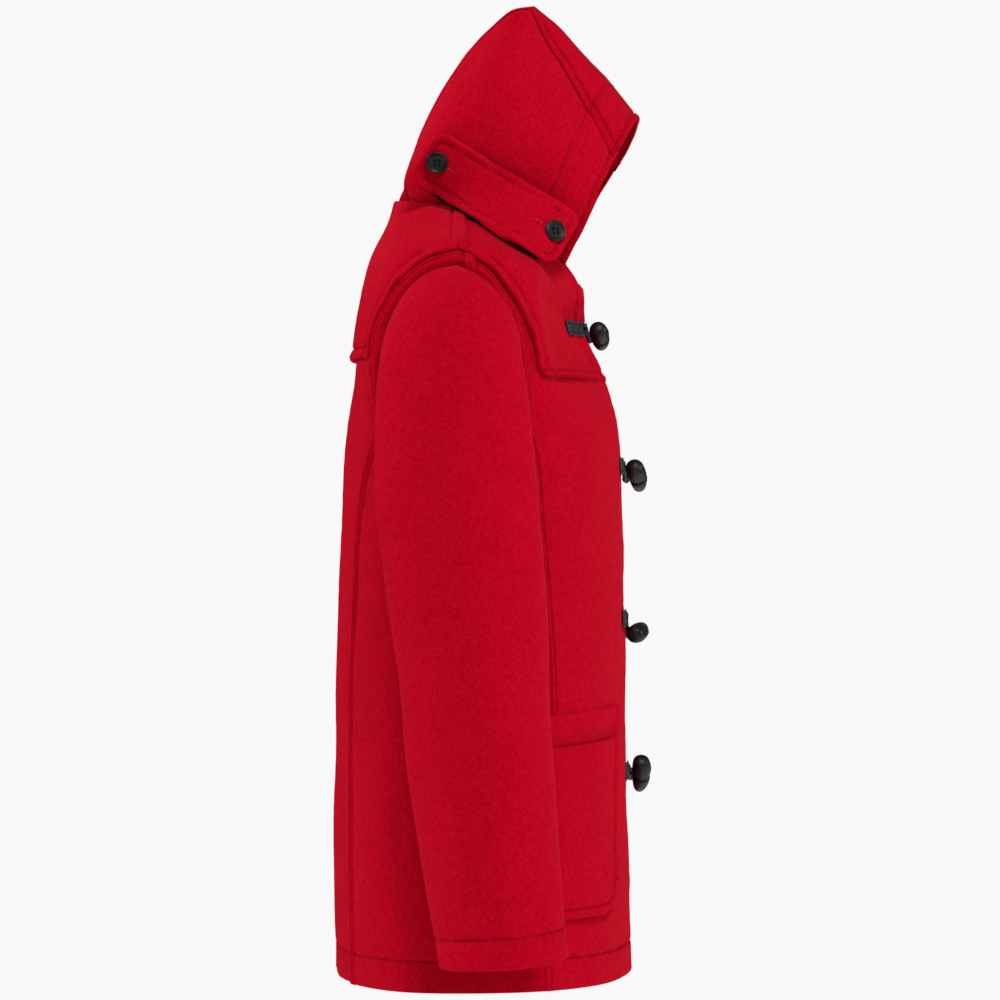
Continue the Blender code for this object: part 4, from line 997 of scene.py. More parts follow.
# ------------------------ hood
FACE_STITCH, FACE_ROUND = 0.0078, 0.0024
# How far the left half of the face edge lies in front of the right one.
FACE_UNEVEN = table("z  forward", (-0.02, 0.0), (0.000, 0.0004), (0.017, 0.0019), (0.032, 0.0045),
                    (0.049, 0.0064), (0.062, 0.0052), (0.0745, 0.0034), (0.095, 0.0020))
STRIP_STITCH = 0.0098
STRIP_OVER = 0.0016      # how far the strip laps over the sides' seams
HOOD_TUCK = 0.0065       # how far the hood's lower edge goes down inside the neck
HOOD_CENTRE = (0.0, -0.02, 0.05)
SIDE_FACING = (0.0075, 0.0035)    # how much farther back its sewn line runs at the top, and below that
STRIP_FACING = (0.006, 0.0135)    # how much farther forward at the middle, and farther back at the seams
LEAD_FROM = 0.55         # share of the way to the face at which the left half's lead begins
HOOD_LAST = HOOD_BACK_STEPS + HOOD_TOP_STEPS
HOOD_LOW = 2             # the station at which the sides' upper edge starts
HOOD_CREASES = (
    ((-0.070, 0.018, 0.120), (-0.078, -0.024, 0.062), 0.012, 0.0022),
    ((-0.075, 0.036, 0.110), (-0.080, -0.004, 0.060), 0.010, -0.0016),
    ((-0.080, 0.010, 0.050), (-0.084, -0.050, 0.015), 0.014, 0.0016),
    ((-0.070, -0.035, 0.105), (-0.078, -0.070, 0.045), 0.014, 0.0012),
)


def neck_angle(x, behind):
    r = ring(np.array(NECK_LEVEL))
    angle = math.asin(abs(x / r["half_width"]) ** (r["back_n" if behind else "front_n"] / 2))
    return math.pi - angle if behind else angle


def hood_line(names, at):
    """The seam or the crown at these stations, counted evenly up to the peak and on to the face."""
    points = np.stack([HOOD[n] if n in HOOD else np.zeros(len(HOOD["x"])) for n in names], -1)
    first = along(points[:PEAK_STATION + 1], np.clip(at / HOOD_BACK_STEPS, 0, 1))
    second = along(points[PEAK_STATION:], np.clip((at - HOOD_BACK_STEPS) / HOOD_TOP_STEPS, 0, 1))
    return np.where((at <= HOOD_BACK_STEPS)[:, None], first, second)


def tucked(grid, tuck):
    """The grid with five rows before it that go down inside the neck."""
    return np.concatenate([grid[:1] + tuck * np.linspace(1, 0.2, 5)[:, None, None], grid])


def hood_side(forward=0.0):
    """One side of the hood; forward is how much of the left face edge's lead it has."""
    u, r = np.linspace(0, 1, 161), np.linspace(0, 1, 101)
    top = hood_line("xyz", HOOD_LOW + (HOOD_LAST - HOOD_LOW) * u)
    first, last = neck_angle(HOOD["x"][0], True), neck_angle(HOOD_FACE["x"][0], False)
    angles = first + (last - first) * u
    base = body_point(NECK_LEVEL, angles) + (0, 0, 0.0006)
    face = along(np.stack([HOOD_FACE[c] for c in "xyz"], -1), r)
    face += (base[-1] - face[0]) * (1 - step_up(r, 0, 0.12))[:, None]
    lead = forward * read(FACE_UNEVEN, face[:, 2])
    low_seam = hood_line("xyz", np.array([HOOD_LOW / 2, HOOD_LOW]))
    halves = np.clip(r * 2, 0, 1)[:, None], np.clip(r * 2 - 1, 0, 1)[:, None]
    back = base[0] + (low_seam[0] - base[0]) * halves[0] + (low_seam[1] - low_seam[0]) * halves[1]
    # A sheet between the four edges, with the swell of a filled hood.
    r, u = r[:, None, None], u[None, :, None]
    ruled = base[None] + (top - base)[None] * r
    edges = back[:, None] + (face - back)[:, None] * u
    corners = (base[0] + (top[0] - base[0]) * r) * (1 - u) + (base[-1] + (top[-1] - base[-1]) * r) * u
    swell = HOOD_SWELL * np.sin(math.pi * r) ** SWELL_UP * np.sin(math.pi * u) ** SWELL_ALONG
    grid = ruled + edges - corners - swell * (1, 0, 0)
    grid[..., 1] -= lead[:, None] * step_up(u[0, :, 0], LEAD_FROM, 1.0)
    grid = tucked(grid, (0.0, 0.0, -HOOD_TUCK) - body_normal(NECK_LEVEL, angles) * HOOD_TUCK / 2)
    cloth = panel(grid, 90, (74,), {"r": [FACE_STITCH, FACING_DEPTH]}, centre=HOOD_CENTRE)
    cloth.uneven(0.0014, 0.075, 51, "lrbt", 0.03)
    cloth.rounded("lt", 0.0011).rounded("r", FACE_ROUND).rounded("b", 0.0008)
    down = cloth.off["t"] / (cloth.off["t"] + cloth.off["b"] + 1e-9)
    cloth.sewn("r", FACE_STITCH).faced("R", cloth.off["r"] - SIDE_FACING[0] - SIDE_FACING[1] * down)
    return cloth.creased(*HOOD_CREASES).pressed(cloth.off["t"], depth=0.0009, width=0.0035)


def hood_strip():
    at = np.linspace(0, HOOD_LAST, 191)
    seam = hood_line("xyz", at)
    crown = hood_line(("none", "crown_y", "crown_z"), at)
    turn = np.linspace(1, -1, 61) * math.pi / 2
    # The seam's x goes from one side to the other; y and z swell from the seam to the crown.
    grid = spot(seam[:, :1] * np.sin(turn), *(seam[:, k:k + 1] + (crown - seam)[:, k:k + 1] * np.cos(turn)
                                              for k in (1, 2)))
    lead = read(FACE_UNEVEN, grid[-1, :, 2]) * step_up(grid[-1, :, 0], -0.03, 0.05)
    grid[..., 1] -= lead * step_up((at - HOOD_LOW) / (HOOD_LAST - HOOD_LOW), LEAD_FROM, 1.0)[:, None]
    grid = tucked(grid, np.array((0.0, -HOOD_TUCK / 2, -HOOD_TUCK)))
    grid = fine_grid(grid, 26, (120,), {"lr": [STRIP_STITCH], "t": [FACE_STITCH, FACING_DEPTH]})
    cloth = Cloth(inset(grid, "lr", -STRIP_OVER), HOOD_CENTRE)
    cloth.uneven(0.0009, 0.05, 61, "lrt", 0.015).rounded("lrb", 0.0012).rounded("t", FACE_ROUND)
    from_middle = np.abs(cloth.grid[..., 0]) / np.abs(cloth.grid[..., 0]).max(1, keepdims=True)
    cloth.sewn("lr", STRIP_STITCH, puff=0.0007).sewn("t", FACE_STITCH)
    return cloth.faced("T", cloth.off["t"] + STRIP_FACING[0] - STRIP_FACING[1] * from_middle)


# ------------------------ throat tab
TAB_STITCH = 0.0074
TAB_DIP = 0.0013
TAB_LIFT = (0.0010, 0.0050)      # how far it stands off its solid, all over and at its lower back corner
TAB_DROP = (0.0020, 0.0045)      # how much lower than its solid the tab's ends lie
TAB_ENDS = np.array([(0.0, *TAB_BACK), (0.0, *TAB_FRONT)])
TAB_CENTRE = TAB_ENDS.mean(0)
TAB_HALF = float(np.linalg.norm(TAB_ENDS[1] - TAB_ENDS[0])) / 2
TAB_ALONG = unit(TAB_ENDS[1] - TAB_ENDS[0])
TAB_ACROSS = np.array((0.0, -TAB_ALONG[2], TAB_ALONG[1])) * np.sign(TAB_ALONG[1])
TAB_INSIDE = (0.0, 0.0, 0.05)
BUTTON_FROM_END = 0.0150
BUTTONHOLE = (0.0085, 0.0190)    # from the button's middle, along the tab
BUTTON_STANDS = 0.0012           # the button's back lies this far off the tab
HOLE_THREADS = ((-0.00045, 0.0), (0.00045, 0.0016))  # each row's way aside and how much later it starts
BACKING_SHADOW_ENDS = 0.93              # share of the tab's length that its dark facing strip, with its painted shadow line, has
BACKING_SHADOW_SHOWS = 0.0021           # how far the dark strip comes out below the tab, as a painted shadow line under its edge


def node_tree(name):
    """Ray casting against a CAD node."""
    item = next(o for o in bpy.data.objects if o.name == name or o.name.startswith(name + "."))
    shape = bmesh.new()
    shape.from_mesh(item.data)
    tree = BVHTree.FromBMesh(shape)
    shape.free()
    return tree


def tab_spot(a, b):
    return TAB_CENTRE + a[..., None] * TAB_ALONG + b[..., None] * TAB_ACROSS


def tab_half_width(way):
    return TAB_HALF_WIDTHS[0] + (TAB_HALF_WIDTHS[1] - TAB_HALF_WIDTHS[0]) * (way + 1) / 2


def tab_outline(way, side):
    """Places at these shares of the tab's length and width, from -1 to 1, inside its round corners."""
    half = tab_half_width(way)
    past = np.maximum(np.abs(side) * half - (half - TAB_CORNER), 0)
    reach = TAB_HALF - (TAB_CORNER - np.sqrt(np.maximum(TAB_CORNER**2 - past**2, 0)))
    return tab_spot(way * reach, side * half)


def tab_drop(way):
    return TAB_DROP[0] + (TAB_DROP[1] - TAB_DROP[0]) * (way + 1) / 2


def tab_stitch_line(count=220):
    """The sewn line round the tab: its distances along and across from the tab's middle."""
    t = 2 * math.pi * np.arange(count + 1) / count
    c, s = np.cos(t), np.sin(t)
    a = np.copysign(np.abs(c) ** 0.12, c) * (TAB_HALF - TAB_STITCH)
    return a, np.copysign(np.abs(s) ** 0.30, s) * (tab_half_width(a / TAB_HALF) - TAB_STITCH)


def throat_tab():
    """The tab follows its solid, on the smooth sheet that lies nearest to places all over it."""
    tree = node_tree("throat_tab")
    ways, sides = (m.ravel() for m in np.meshgrid(np.linspace(-0.9, 0.9, 13), np.linspace(-0.9, 0.9, 7)))
    x = [tree.ray_cast(Vector((-1, y, z)), Vector((1, 0, 0)))[0].x for _, y, z in tab_outline(ways, sides)]

    def terms(way, side):
        return np.stack([way**i * side**j for i in range(5) for j in range(3)], -1)

    bend = np.linalg.lstsq(terms(ways, sides), x, rcond=None)[0]

    def on_tab(place, way, side, sunk=0.0):
        """Drop a place on the tab's plan to where the tab hangs, and onto its smooth sheet."""
        drop = tab_drop(way)
        place = place - drop[..., None] * TAB_ACROSS
        lift = TAB_LIFT[0] + TAB_LIFT[1] * step_up(-way, 0.4, 1.0) * step_up(-side, -1.0, 0.8)
        place[..., 0] = terms(way, side - drop / tab_half_width(way)) @ bend + sunk - lift
        return place

    way = np.linspace(-1, 1, 161)
    grid = np.stack([on_tab(tab_outline(way, side), way, side + 0 * way) for side in np.linspace(-1, 1, 61)])
    grid = fine_grid(grid, 70, (22,), {"lrbt": [TAB_STITCH]})
    cloth = Cloth(grid, TAB_INSIDE)
    # Distance from the rounded outline, not only from the grid's own sides.
    a = (grid - TAB_CENTRE) @ TAB_ALONG
    b = (grid - TAB_CENTRE) @ TAB_ACROSS + tab_drop(a / TAB_HALF)
    qa = np.abs(a) - (TAB_HALF - TAB_CORNER)
    qb = np.abs(b) - (tab_half_width(a / TAB_HALF) - TAB_CORNER)
    outside = np.hypot(np.maximum(qa, 0), np.maximum(qb, 0)) + np.minimum(np.maximum(qa, qb), 0)
    cloth.off = dict.fromkeys("lrbt", np.maximum(TAB_CORNER - outside, 0))
    cloth.uneven(0.0007, 0.06, 71, "l", 0.02).rounded("l", 0.0026)
    cloth.sewn("l", TAB_STITCH, dip=TAB_DIP, puff=0.0014, threads=False)
    button_at = TAB_HALF - BUTTON_FROM_END
    buttons_at = {"tab_button_back": -button_at, "tab_button_front": button_at}
    for at in buttons_at.values():
        low, high = sorted(at - math.copysign(far, at) for far in BUTTONHOLE)
        away = np.hypot(a - np.clip(a, low, high), b)
        cloth.pressed(away - 0.0011, depth=-0.0006, width=0.0008).pressed(away, depth=0.0010, width=0.0006)
        cloth.pressed(np.hypot(a - at, b), depth=0.0008, width=0.011)

    def nearest(at, aside):
        return np.unravel_index(np.argmin(np.hypot(a - at, b - aside)), a.shape)

    sewn, seats = [], {}
    for at, aside in zip(*tab_stitch_line()):
        normal = cloth.normals[nearest(at, aside)]
        place = on_tab(tab_spot(at, aside), at / TAB_HALF, aside / tab_half_width(at / TAB_HALF))
        sewn.append((place - normal * TAB_DIP * 0.8, normal))
    for name, at in buttons_at.items():
        normal = cloth.normals[nearest(at, 0)]
        seats[name] = cloth.points()[nearest(at, 0)] + normal * BUTTON_STANDS, normal
    # A dark strip under the tab, sunk by the tab's wall: the tab's dark facing, and below its lower edge a
    # painted shadow line.
    way = np.linspace(-BACKING_SHADOW_ENDS, BACKING_SHADOW_ENDS, 161)
    rows = []
    for side in np.linspace(-1.0, -0.7, 9):
        past = BACKING_SHADOW_SHOWS * np.sqrt(1 - (way / BACKING_SHADOW_ENDS) ** 4) * (side < -0.9)
        place = on_tab(tab_outline(way, side), way, side + 0 * way, sunk=TAB_WALL)
        rows.append(place - past[:, None] * TAB_ACROSS)
    return cloth, sewn, seats, Cloth(np.stack(rows), TAB_INSIDE)


def buttonholes(cloth, seats):
    """The worked slit beside each of two buttons, as two close rows of thread on the tab."""
    face, normals, rows = cloth.points().reshape(-1, 3), cloth.normals.reshape(-1, 3), []
    for seat, other in (seats[:2], seats[1::-1]):
        way = unit(np.array(other) - seat)
        across = np.array((0.0, -way[2], way[1]))
        for aside, on in HOLE_THREADS:
            row = []
            for far in np.linspace(BUTTONHOLE[0] + on, BUTTONHOLE[1], 8):
                place = seat + way * far + across * aside
                near = np.argmin(np.linalg.norm((face - place)[:, 1:], axis=-1))
                place[0] = face[near, 0] - 0.0002
                row.append((place, normals[near]))
            rows.append(row)
    return rows


# ------------------------ turned and round pieces
BUTTON_RADIUS, BUTTON_SIDES = 0.0099, 48
BUTTON_SUNK = 0.0022
BUTTON_TURN = 0.45       # how far the buttons face sideways, besides the way the cloth faces
# From the middle of the back, round the rim, to the middle of the dish: share of the radius, height.
BUTTON_PROFILE = [(0.0, 0.0004), (0.30, 0.0002), (0.62, 0.0), (0.86, 0.0005), (0.97, 0.0013), (1.0, 0.0021),
                  (0.985, 0.0028), (0.94, 0.0032), (0.87, 0.0032), (0.80, 0.0029), (0.73, 0.0023),
                  (0.64, 0.00205), (0.45, 0.0020), (0.20, 0.0020), (0.0, 0.0020)]
# The holes are thin discs just above the dish, coloured as painted shade; no hole is cut through the button.
HOLE_OFF, HOLE_RADIUS, HOLE_HEIGHT, HOLE_WALL = 0.0021, 0.00115, 0.00212, 0.00008
TIE_RADIUS, TIE_APART, TIE_HEIGHTS = 0.00022, 0.0002, (0.0021, 0.0026, 0.0021)
SHARP = math.radians(50)


def spokes(first, second, sides):
    """Directions all round, from the first towards the second."""
    turn = 2 * math.pi * np.arange(sides) / sides
    return first * np.cos(turn)[:, None] + second * np.sin(turn)[:, None]


def ring_solid(rings):
    """Vertices and faces of a row of rings of points with a flat cap at both ends."""
    rows, sides = rings.shape[:2]
    caps = [list(range(sides))[::-1], list(range((rows - 1) * sides, rows * sides))]
    return rings.reshape(-1, 3).tolist(), caps + grid_faces(rows, sides, True)


def joined(name, parts, material):
    """Several solids as one mesh whose edges stay sharp."""
    verts, faces = [], []
    for part_verts, part_faces in parts:
        faces += [[k + len(verts) for k in face] for face in part_faces]
        verts += part_verts
    mesh = smooth_mesh(name, verts, faces)
    mesh.set_sharp_from_angle(angle=SHARP)
    return new_object(name, mesh, material)


def tube(route, radius, sides, steps=4, flat=1.0, side=None):
    """A tube along a smooth route; flat makes its section wider than high, square to the side given."""
    line = dense(route, steps)
    heading = unit(np.gradient(line, axis=0))
    if side is None:
        side = Vector(heading[0]).orthogonal()
    side = np.broadcast_to(np.array(side), line.shape)
    first = unit(side - heading * np.sum(side * heading, -1, keepdims=True))
    second = np.cross(heading, first)
    turn = 2 * math.pi * np.arange(sides) / sides
    power = 0.7 if flat != 1.0 else 1.0
    c, s = (np.sign(v) * np.abs(v) ** power * radius for v in (np.cos(turn), np.sin(turn)))
    return ring_solid(line[:, None] + first[:, None] * (c * flat)[:, None] + second[:, None] * s[:, None])


def button(name, seat, axis):
    """A turned button with a raised rim, a dished middle and four holes with thread through them; the holes
    are thin flat discs on the dish, coloured as painted shade.
    """
    first = unit(np.cross((0.0, 0.0, 1.0), axis))
    second = np.cross(axis, first)
    out, up = (dense(BUTTON_PROFILE, 3)[1:-1] * (BUTTON_RADIUS, 1.0)).T[:, :, None, None]
    rings = seat + spokes(first, second, BUTTON_SIDES) * out + axis * up
    body = new_object(name, smooth_mesh(name, *ring_solid(rings)), BUTTON_BLACK)

    def place(x, y, height):
        return seat + (first * x + second * y) * HOLE_OFF + axis * height

    aside = unit(np.array(Vector(axis).orthogonal()))
    round_hole = spokes(aside, np.cross(axis, aside), 12) * HOLE_RADIUS
    hole = np.stack([round_hole, round_hole + axis * HOLE_WALL])
    holes = [ring_solid(place(x, y, HOLE_HEIGHT) + hole) for x in (-1, 1) for y in (-1, 1)]
    ties = [tube([place(x, y, height) + first * shift for y, height in zip((-1, 0, 1), TIE_HEIGHTS)],
                 TIE_RADIUS, 6) for x in (-1, 1) for shift in (-TIE_APART, TIE_APART)]
    return body, joined(name + "_holes", holes, HOLE_SHADE), joined(name + "_thread", ties, THREAD_BLACK)


TOGGLE_LENGTH = 0.046
TOGGLE_SIDES = 40
TOGGLE_BEND = (0.0012, 0.0008)    # how far its middle bows out, and the whole goes back
TOGGLE_SLIM = 0.985      # a little thinner than its profile, to make room for its unevenness
TOGGLE_UNEVEN = 0.00018
TOGGLE_TIP = 0.0003
TOGGLE_PROFILE = table(
    "share  radius",
    (-0.500, 0.0000), (-0.498, 0.0016), (-0.488, 0.0036), (-0.465, 0.0060), (-0.42, 0.0077), (-0.34, 0.0086),
    (-0.20, 0.0089), (-0.075, 0.0086), (-0.050, 0.0080), (-0.035, 0.0070), (0.035, 0.0069), (0.050, 0.0078),
    (0.075, 0.0083), (0.18, 0.0079), (0.30, 0.0069), (0.40, 0.0056), (0.46, 0.0043), (0.488, 0.0028),
    (0.498, 0.0013), (0.500, 0.0))


def toggle(number, t):
    """A turned horn toggle, a little uneven and bent, thick at one end, with a groove for its loop."""
    axis = unit(np.array((t["to_x"], t["to_y"], t["to_z"])))
    first = unit(np.cross(axis, (0.0, 0.0, 1.0)))
    place = np.interp(np.linspace(0, 19, 115), np.arange(20), TOGGLE_PROFILE["share"])
    radius = read(TOGGLE_PROFILE, place)
    radius[[0, -1]] = TOGGLE_TIP
    bend = TOGGLE_BEND[0] * np.cos(place * math.pi) - TOGGLE_BEND[1]
    centre = (t["x"], t["y"], t["z"]) + axis * (place * TOGGLE_LENGTH)[:, None] + first * bend[:, None]
    ways = spokes(first, np.cross(axis, first), TOGGLE_SIDES)
    grid = centre[:, None] + ways * (radius * TOGGLE_SLIM)[:, None, None]
    uneven = TOGGLE_UNEVEN * ripple(grid, 0.010, 100 + number) * np.minimum(radius / 0.004, 1)[:, None]
    return joined(f"toggle_{number}_horn", [ring_solid(grid + ways * uneven[..., None])], HORN)


# ------------------------ pockets
POCKET_LIFT, POCKET_WALL, POCKET_CORNER = 0.0009, 0.0030, 0.020
POCKET_STITCH, POCKET_BAND = 0.0080, 0.0280
POCKET_WIDTH = 0.135


def clear_of(cloth, sides, distance):
    """How far a place is clear of the stitches along other sides, for a line of stitches that ends there."""
    clear = step_up(np.minimum.reduce([cloth.off[side] for side in sides]), 0.75 * distance, distance)

    def keep(place):
        if place.ndim > 1:
            return clear
        return clear.flat[np.argmin(np.linalg.norm(cloth.grid - place, axis=-1))]
    return keep


def pocket():
    down = np.linspace(0, 1, 81)[:, None]
    across = np.linspace(0, 1, 101)[None, :]
    edge = {c: v[0] + (v[1] - v[0]) * down for c, v in POCKET.items()}
    front = angle_at_x(edge["front_level"], edge["front_x"])
    back = angle_at_y(edge["side_level"], edge["back_y"])
    level = edge["front_level"] + (edge["side_level"] - edge["front_level"]) * across
    angle = front + (back - front) * across
    in_corner = np.maximum(POCKET_CORNER - np.minimum(across, 1 - across) * POCKET_WIDTH, 0)
    round_off = POCKET_CORNER - np.sqrt(np.maximum(POCKET_CORNER**2 - in_corner**2, 0))
    level = level + round_off * step_up(down, 0.75, 1.0)
    grid = body_point(level, angle) + body_normal(level, angle) * (POCKET_LIFT + POCKET_WALL)
    cloth = Cloth(fine_grid(grid, 56, (70,), {"lrbt": [POCKET_STITCH], "b": [POCKET_BAND]}), BODY_CENTRE)
    cloth.uneven(0.0008, 0.06, 81, "lrt", 0.02).rounded("lrt", 0.0021).rounded("b", 0.0024)
    beside, below = clear_of(cloth, "t", POCKET_STITCH), clear_of(cloth, "lr", POCKET_STITCH)
    cloth.sewn("lr", POCKET_STITCH, beside).sewn("t", POCKET_STITCH, below)
    cloth.sewn("b", POCKET_BAND, puff=0.0008)
    cloth.pressed(cloth.off["l"] - POCKET_STITCH, depth=0.0022, width=0.0032, where=beside(cloth.grid))
    cloth.pressed(cloth.off["b"] - POCKET_BAND, depth=0.0012, width=0.0026)
    return cloth.pressed(cloth.off["b"] - POCKET_BAND / 2, depth=-0.0010, width=0.008)


# ------------------------ patches, loops and short cords
CORD_RADIUS = 0.00125
CORD_REST = 0.0014 + 0.0003 + 0.0005    # half a cord, its gap and the cloth's puff
PATCH_LENGTH, PATCH_HEIGHT, PATCH_WALL, PATCH_STITCH = 0.046, 0.0150, 0.0018, 0.0024
# Along the cord from the overlap's edge, sideways, and off the front.
LOOP_HALF = [(-0.0133, 0.0040, 0.0), (-0.0095, 0.0040, 0.0), (0.005, 0.0042, 0.0), (0.020, 0.0042, 0.0),
             (0.029, 0.0034, 0.0026)]
LOOP_ROUTE = LOOP_HALF + [(0.0325, 0.0, 0.0034)] + [(x, -y, z) for x, y, z in LOOP_HALF[::-1]]
SHORT_CORD_ROUTE = [(0.0401, 0.0, 0.0), (0.0350, 0.0, 0.0), (0.0300, 0.0, 0.0), (0.022, 0.0, 0.0002),
                    (0.015, 0.0, 0.0010)]
LOOP_REACH = (-0.009, 0.012)      # between these x a cord goes from its patch's height to its toggle's
SHORT_CORD_REACH = (0.040, 0.030)
PATCH_START = {"right": (-0.0136, -1), "left": (0.041, 1)}  # x of its inner end, and the way it goes
PATCH_GAPS = (0.0009, 0.0004)     # under a patch, on the upper and on the lower front


def front_place(x, height):
    """Levels and angles of the front surface points at these x and heights."""
    x, height = np.broadcast_arrays(x, np.asarray(height, float))
    low, high = np.full(x.shape, HEM_LEVEL), np.full(x.shape, NECK_LEVEL)
    for _ in range(32):
        middle = (low + high) / 2
        under = body_point(middle, angle_at_x(middle, x))[..., 2] < height
        low, high = np.where(under, middle, low), np.where(under, high, middle)
    return low, angle_at_x(low, x)


def doubled_height(height):
    """How far the yoke lifts what lies on the front at this height."""
    return YOKE_LIFT + WALL if height > YOKE_FRONT_LEVEL else 0.0


def leather_patch(name, height, side):
    """A leather tab sewn to one front, with its sewn border and a soft edge."""
    start, reach = PATCH_START[side]
    doubled = doubled_height(height)
    lift = doubled + PATCH_GAPS[0 if side == "right" or doubled else 1] + PATCH_WALL
    place = front_place(start + reach * PATCH_LENGTH * np.linspace(0, 1, 31),
                        height + PATCH_HEIGHT * np.linspace(-0.5, 0.5, 13)[:, None])
    grid = fine_grid(body_point(*place) + body_normal(*place) * lift, 30, (8,), {"lrbt": [PATCH_STITCH]})
    cloth = Cloth(grid, BODY_CENTRE).rounded("lrbt", 0.0009)
    cloth.sewn("lrbt", PATCH_STITCH, dip=0.00035, puff=0.0001)
    cloth.rise += 0.00012 * ripple(grid, 0.004, 91)
    return new_object(name, cloth_mesh(cloth, PATCH_WALL * 0.95), LEATHER), cloth


def cords(number, t):
    """The loop and the short cord of one toggle; past the centre line they lie on the flat overlap."""
    result = []
    for kind, route, reach, flat, side in (
            ("loop", LOOP_ROUTE, LOOP_REACH, 1.9, None),
            ("short_cord", SHORT_CORD_ROUTE, SHORT_CORD_REACH, 2.2, (0.0, 0.35, 1.0))):
        x, sideways, rise = np.array(route).T
        share = np.clip((x - reach[0]) / (reach[1] - reach[0]), 0, 1)
        doubled = np.where(x < LOOP_REACH[0], doubled_height(t["patch_z"]), 0.0)
        lift = CORD_REST + doubled + rise + t["cord_rise"] * share
        place = front_place(np.minimum(x, 0.0), t["patch_z"] + sideways + (t["z"] - t["patch_z"]) * share)
        points = body_point(*place) + body_normal(*place) * lift[..., None]
        points[:, 0] += np.maximum(x, 0.0)
        cord = tube(points, CORD_RADIUS, 12, 8, flat, side)
        result.append((joined(f"{kind}_{number}_leather", [cord], LEATHER), f"{kind}_{number}"))
    return result


# ------------------------ sewing
def stitch_tree():
    """Geometry Nodes: a plump stitch at even steps along each curve, turned along it."""
    tree = bpy.data.node_groups.new("stitches", "GeometryNodeTree")
    face = tree.interface
    face.new_socket("Lines", in_out="INPUT", socket_type="NodeSocketGeometry")
    for name, value in (("Step", 0.0044), ("Length", 0.0032), ("Thickness", 0.0007)):
        face.new_socket(name, in_out="INPUT", socket_type="NodeSocketFloat").default_value = value
    face.new_socket("Thread", in_out="INPUT", socket_type="NodeSocketMaterial")
    face.new_socket("Stitches", in_out="OUTPUT", socket_type="NodeSocketGeometry")

    def add(kind, inputs=(), **settings):
        return add_node(tree, kind, inputs, **settings).outputs

    given = add("NodeGroupInput")
    steps = add("GeometryNodeResampleCurve", {"Curve": given["Lines"], "Length": given["Step"]},
                mode="LENGTH")
    half, thin = (add("ShaderNodeMath", {0: given[name], 1: 0.5}, operation="MULTIPLY")[0]
                  for name in ("Length", "Thickness"))
    size = add("ShaderNodeCombineXYZ", {"X": thin, "Y": thin, "Z": half})
    bead = add("GeometryNodeMeshUVSphere", Segments=6, Rings=5, Radius=1.0)
    way = add("GeometryNodeInputTangent")
    turn = add("FunctionNodeAlignRotationToVector", {"Vector": way[0]}, axis="Z")
    placed = add("GeometryNodeInstanceOnPoints", {"Points": steps[0], "Instance": bead["Mesh"],
                                                  "Rotation": turn[0], "Scale": size[0]})
    real = add("GeometryNodeRealizeInstances", {0: placed[0]})
    painted = add("GeometryNodeSetMaterial", {"Geometry": real[0], "Material": given["Thread"]})
    rounded = add("GeometryNodeSetShadeSmooth", {"Geometry": painted[0]})
    add_node(tree, "NodeGroupOutput", {0: rounded[0]})
    return tree


STITCHES = stitch_tree()
THREAD_LIFT = 0.00022    # how far a stitch's middle stands off the cloth


def sewing(name, lines, material=THREAD_RED_GROOVE_SHADE, mirror=False):
    """All stitches of one piece as one mesh."""
    curve = bpy.data.curves.new(name, "CURVE")
    curve.dimensions = "3D"
    for line in lines:
        spline = curve.splines.new("POLY")
        spline.points.add(len(line) - 1)
        for point, (place, way) in zip(spline.points, line):
            x, y, z = (s + w * THREAD_LIFT for s, w in zip(place, way))
            point.co = (-x if mirror else x, y, z, 1.0)
    guide = new_object(name + "_guide", curve)
    modifier = guide.modifiers.new("stitches", "NODES")
    modifier.node_group = STITCHES
    for socket in STITCHES.interface.items_tree:
        if socket.name == "Thread" and socket.in_out == "INPUT":
            modifier[socket.identifier] = material
    view = bpy.context.evaluated_depsgraph_get()
    view.update()
    mesh = bpy.data.meshes.new_from_object(guide.evaluated_get(view), depsgraph=view)
    mesh.name = name
    bpy.data.objects.remove(guide, do_unlink=True)
    return new_object(name, mesh)


def extra(piece):
    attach(piece, "root")


def dress(node, cloth, wall=WALL, mirror=False, has_node=True):
    """Hang one cloth piece with its stitches, in place of its CAD node where it has one."""
    piece = new_object(node + "_cloth", cloth_mesh(cloth, wall, mirror), WOOL)
    if has_node:
        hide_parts(node)
    extra(piece)
    lines = cloth.seam_lines()
    if lines:
        extra(sewing(node + "_stitches", lines, mirror=mirror))


def dress_pair(node, cloth, left=None, wall=WALL):
    dress(node + "_right", cloth, wall)
    dress(node + "_left", left or cloth, wall, mirror=True)


dress("back", back_panel())
dress("front_right", front_panel(True))
dress("front_left", front_panel(False))
dress("neck_facing", neck_facing(), has_node=False)
dress_pair("side", side_panel())
dress("yoke_back", yoke("back"), YOKE_WALL)
dress("yoke_front_right", yoke("front", 1), YOKE_WALL)
dress("yoke_front_left", yoke("front", -1), YOKE_WALL)
loop = arm_loop()
dress_pair("armhole_band", armhole_band(*loop))
dress_pair("sleeve", sleeve_from(loop[2]))
dress_pair("hood_side", hood_side(), hood_side(1.0))
dress("hood_centre", hood_strip())
dress_pair("pocket", pocket(), wall=POCKET_WALL)
tab, tab_line, tab_seats, backing_and_shadow = throat_tab()
dress("throat_tab", tab, TAB_WALL * 0.9)
extra(sewing("throat_tab_topstitch", [tab_line]))
holes = buttonholes(tab, [seat for seat, _ in tab_seats.values()])
extra(sewing("throat_tab_buttonholes", holes, THREAD_PALE))
# The tab's dark facing strip, with the painted shadow line below its edge.
extra(new_object("throat_tab_backing", cloth_mesh(backing_and_shadow, 0.0010), TAB_BACKING_SHADOW))

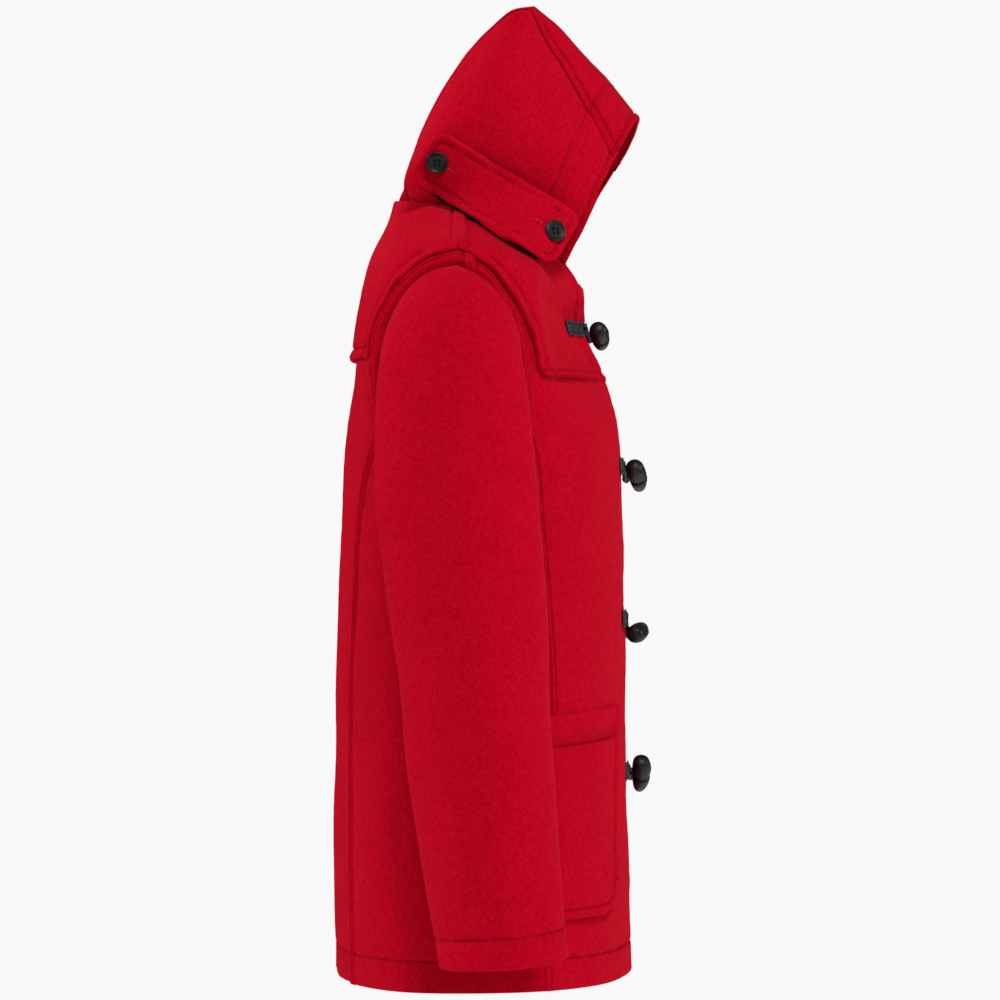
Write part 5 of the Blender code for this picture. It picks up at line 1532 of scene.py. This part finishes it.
for node in ("tab_button_back", "tab_button_front", "hood_button_left"):
    if node in tab_seats:
        seat, facing = tab_seats[node]
    else:
        middle = sum(np.array(c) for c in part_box(node)) / 2
        hit, facing, _, _ = node_tree(node).ray_cast(Vector((1.0, middle[1], middle[2])), Vector((-1, 0, 0)))
        seat = np.array(hit) - np.array(facing) * BUTTON_SUNK
    axis = unit(np.array(facing) + (math.copysign(BUTTON_TURN, facing[0]), 0.0, 0.0))
    body, dark, sewn = button(node + "_turned", seat, axis)
    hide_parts(node)
    for piece in (body, dark, sewn):
        extra(piece)

for number in range(1, 5):
    t = {c: v[number - 1] for c, v in TOGGLES.items()}
    for side in ("right", "left"):
        node = f"patch_{side}_{number}"
        piece, cloth = leather_patch(node + "_leather", t["patch_z"], side)
        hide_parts(node)
        extra(piece)
        extra(sewing(node + "_stitches", cloth.seam_lines(), THREAD_BLACK))
    for piece, node in cords(number, t):
        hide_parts(node)
        extra(piece)
    piece = toggle(number, t)
    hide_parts(f"toggle_{number}")
    extra(piece)


# ------------------------ floor, light and camera
def floor():
    """A pale round floor well below the coat, as bright as its surroundings."""
    bpy.ops.mesh.primitive_circle_add(vertices=96, radius=4.5, fill_type="NGON", location=(0, 0, -1.45))
    item = bpy.context.object
    item.name = "floor"
    s = Shader("floor_pale", roughness=0.9, specular_ior_level=0.1, emission_strength=0.35)
    pale = s.ramp(s.noise(2.0), (0.3, "F4F4F4"), (0.7, "F7F7F7"))
    s.link("Base Color", pale)
    s.link("Emission Color", pale)
    item.data.materials.append(s.material)


def area_light(name, place, size, power):
    light = bpy.data.lights.new(name, "AREA")
    light.shape, light.size, light.energy = "DISK", size, power
    item = new_object(name, light)
    item.location = place
    item.rotation_euler = (Vector(AIM) - Vector(place)).to_track_quat("-Z", "Y").to_euler()


def sky(lights=0.11, seen=0.94):
    """Soft white surroundings, seen brighter than they light, so that the coat stands on a pale ground."""
    world = bpy.data.worlds.new("studio")
    world.use_nodes = True
    tree = world.node_tree
    camera_ray = add_node(tree, "ShaderNodeLightPath").outputs["Is Camera Ray"]
    strength = add_node(tree, "ShaderNodeMapRange", {"Value": camera_ray}, To_Min=lights, To_Max=seen)
    ground = tree.nodes["Background"]
    ground.inputs["Color"].default_value = (1, 1, 1, 1)
    tree.links.new(strength.outputs["Result"], ground.inputs["Strength"])
    bpy.context.scene.world = world


AIM = (0.0, -0.01, -0.30)
CAMERA_DISTANCE, FIELD = 4.2, 0.92
CAMERA_Y, CAMERA_Z = -0.0147, -0.276

bpy.context.scene.view_settings.view_transform = "Standard"
floor()
area_light("light_front", (-0.5, -3.6, 0.5), 1.4, 46)
area_light("light_back", (0.3, 3.6, 1.3), 1.4, 98)
area_light("light_top", (-2.6, -0.8, 2.5), 1.1, 98)
area_light("light_fill", (-4.4, 0.3, 0.3), 1.8, 10)
sky()
camera = bpy.data.cameras.new("camera")
camera.sensor_width = 36
camera.lens = camera.sensor_width * CAMERA_DISTANCE / FIELD
view_from = new_object("camera", camera)
view_from.location = (-CAMERA_DISTANCE, CAMERA_Y, CAMERA_Z)
view_from.rotation_euler = (math.pi / 2, 0, -math.pi / 2)
bpy.context.scene.camera = view_from
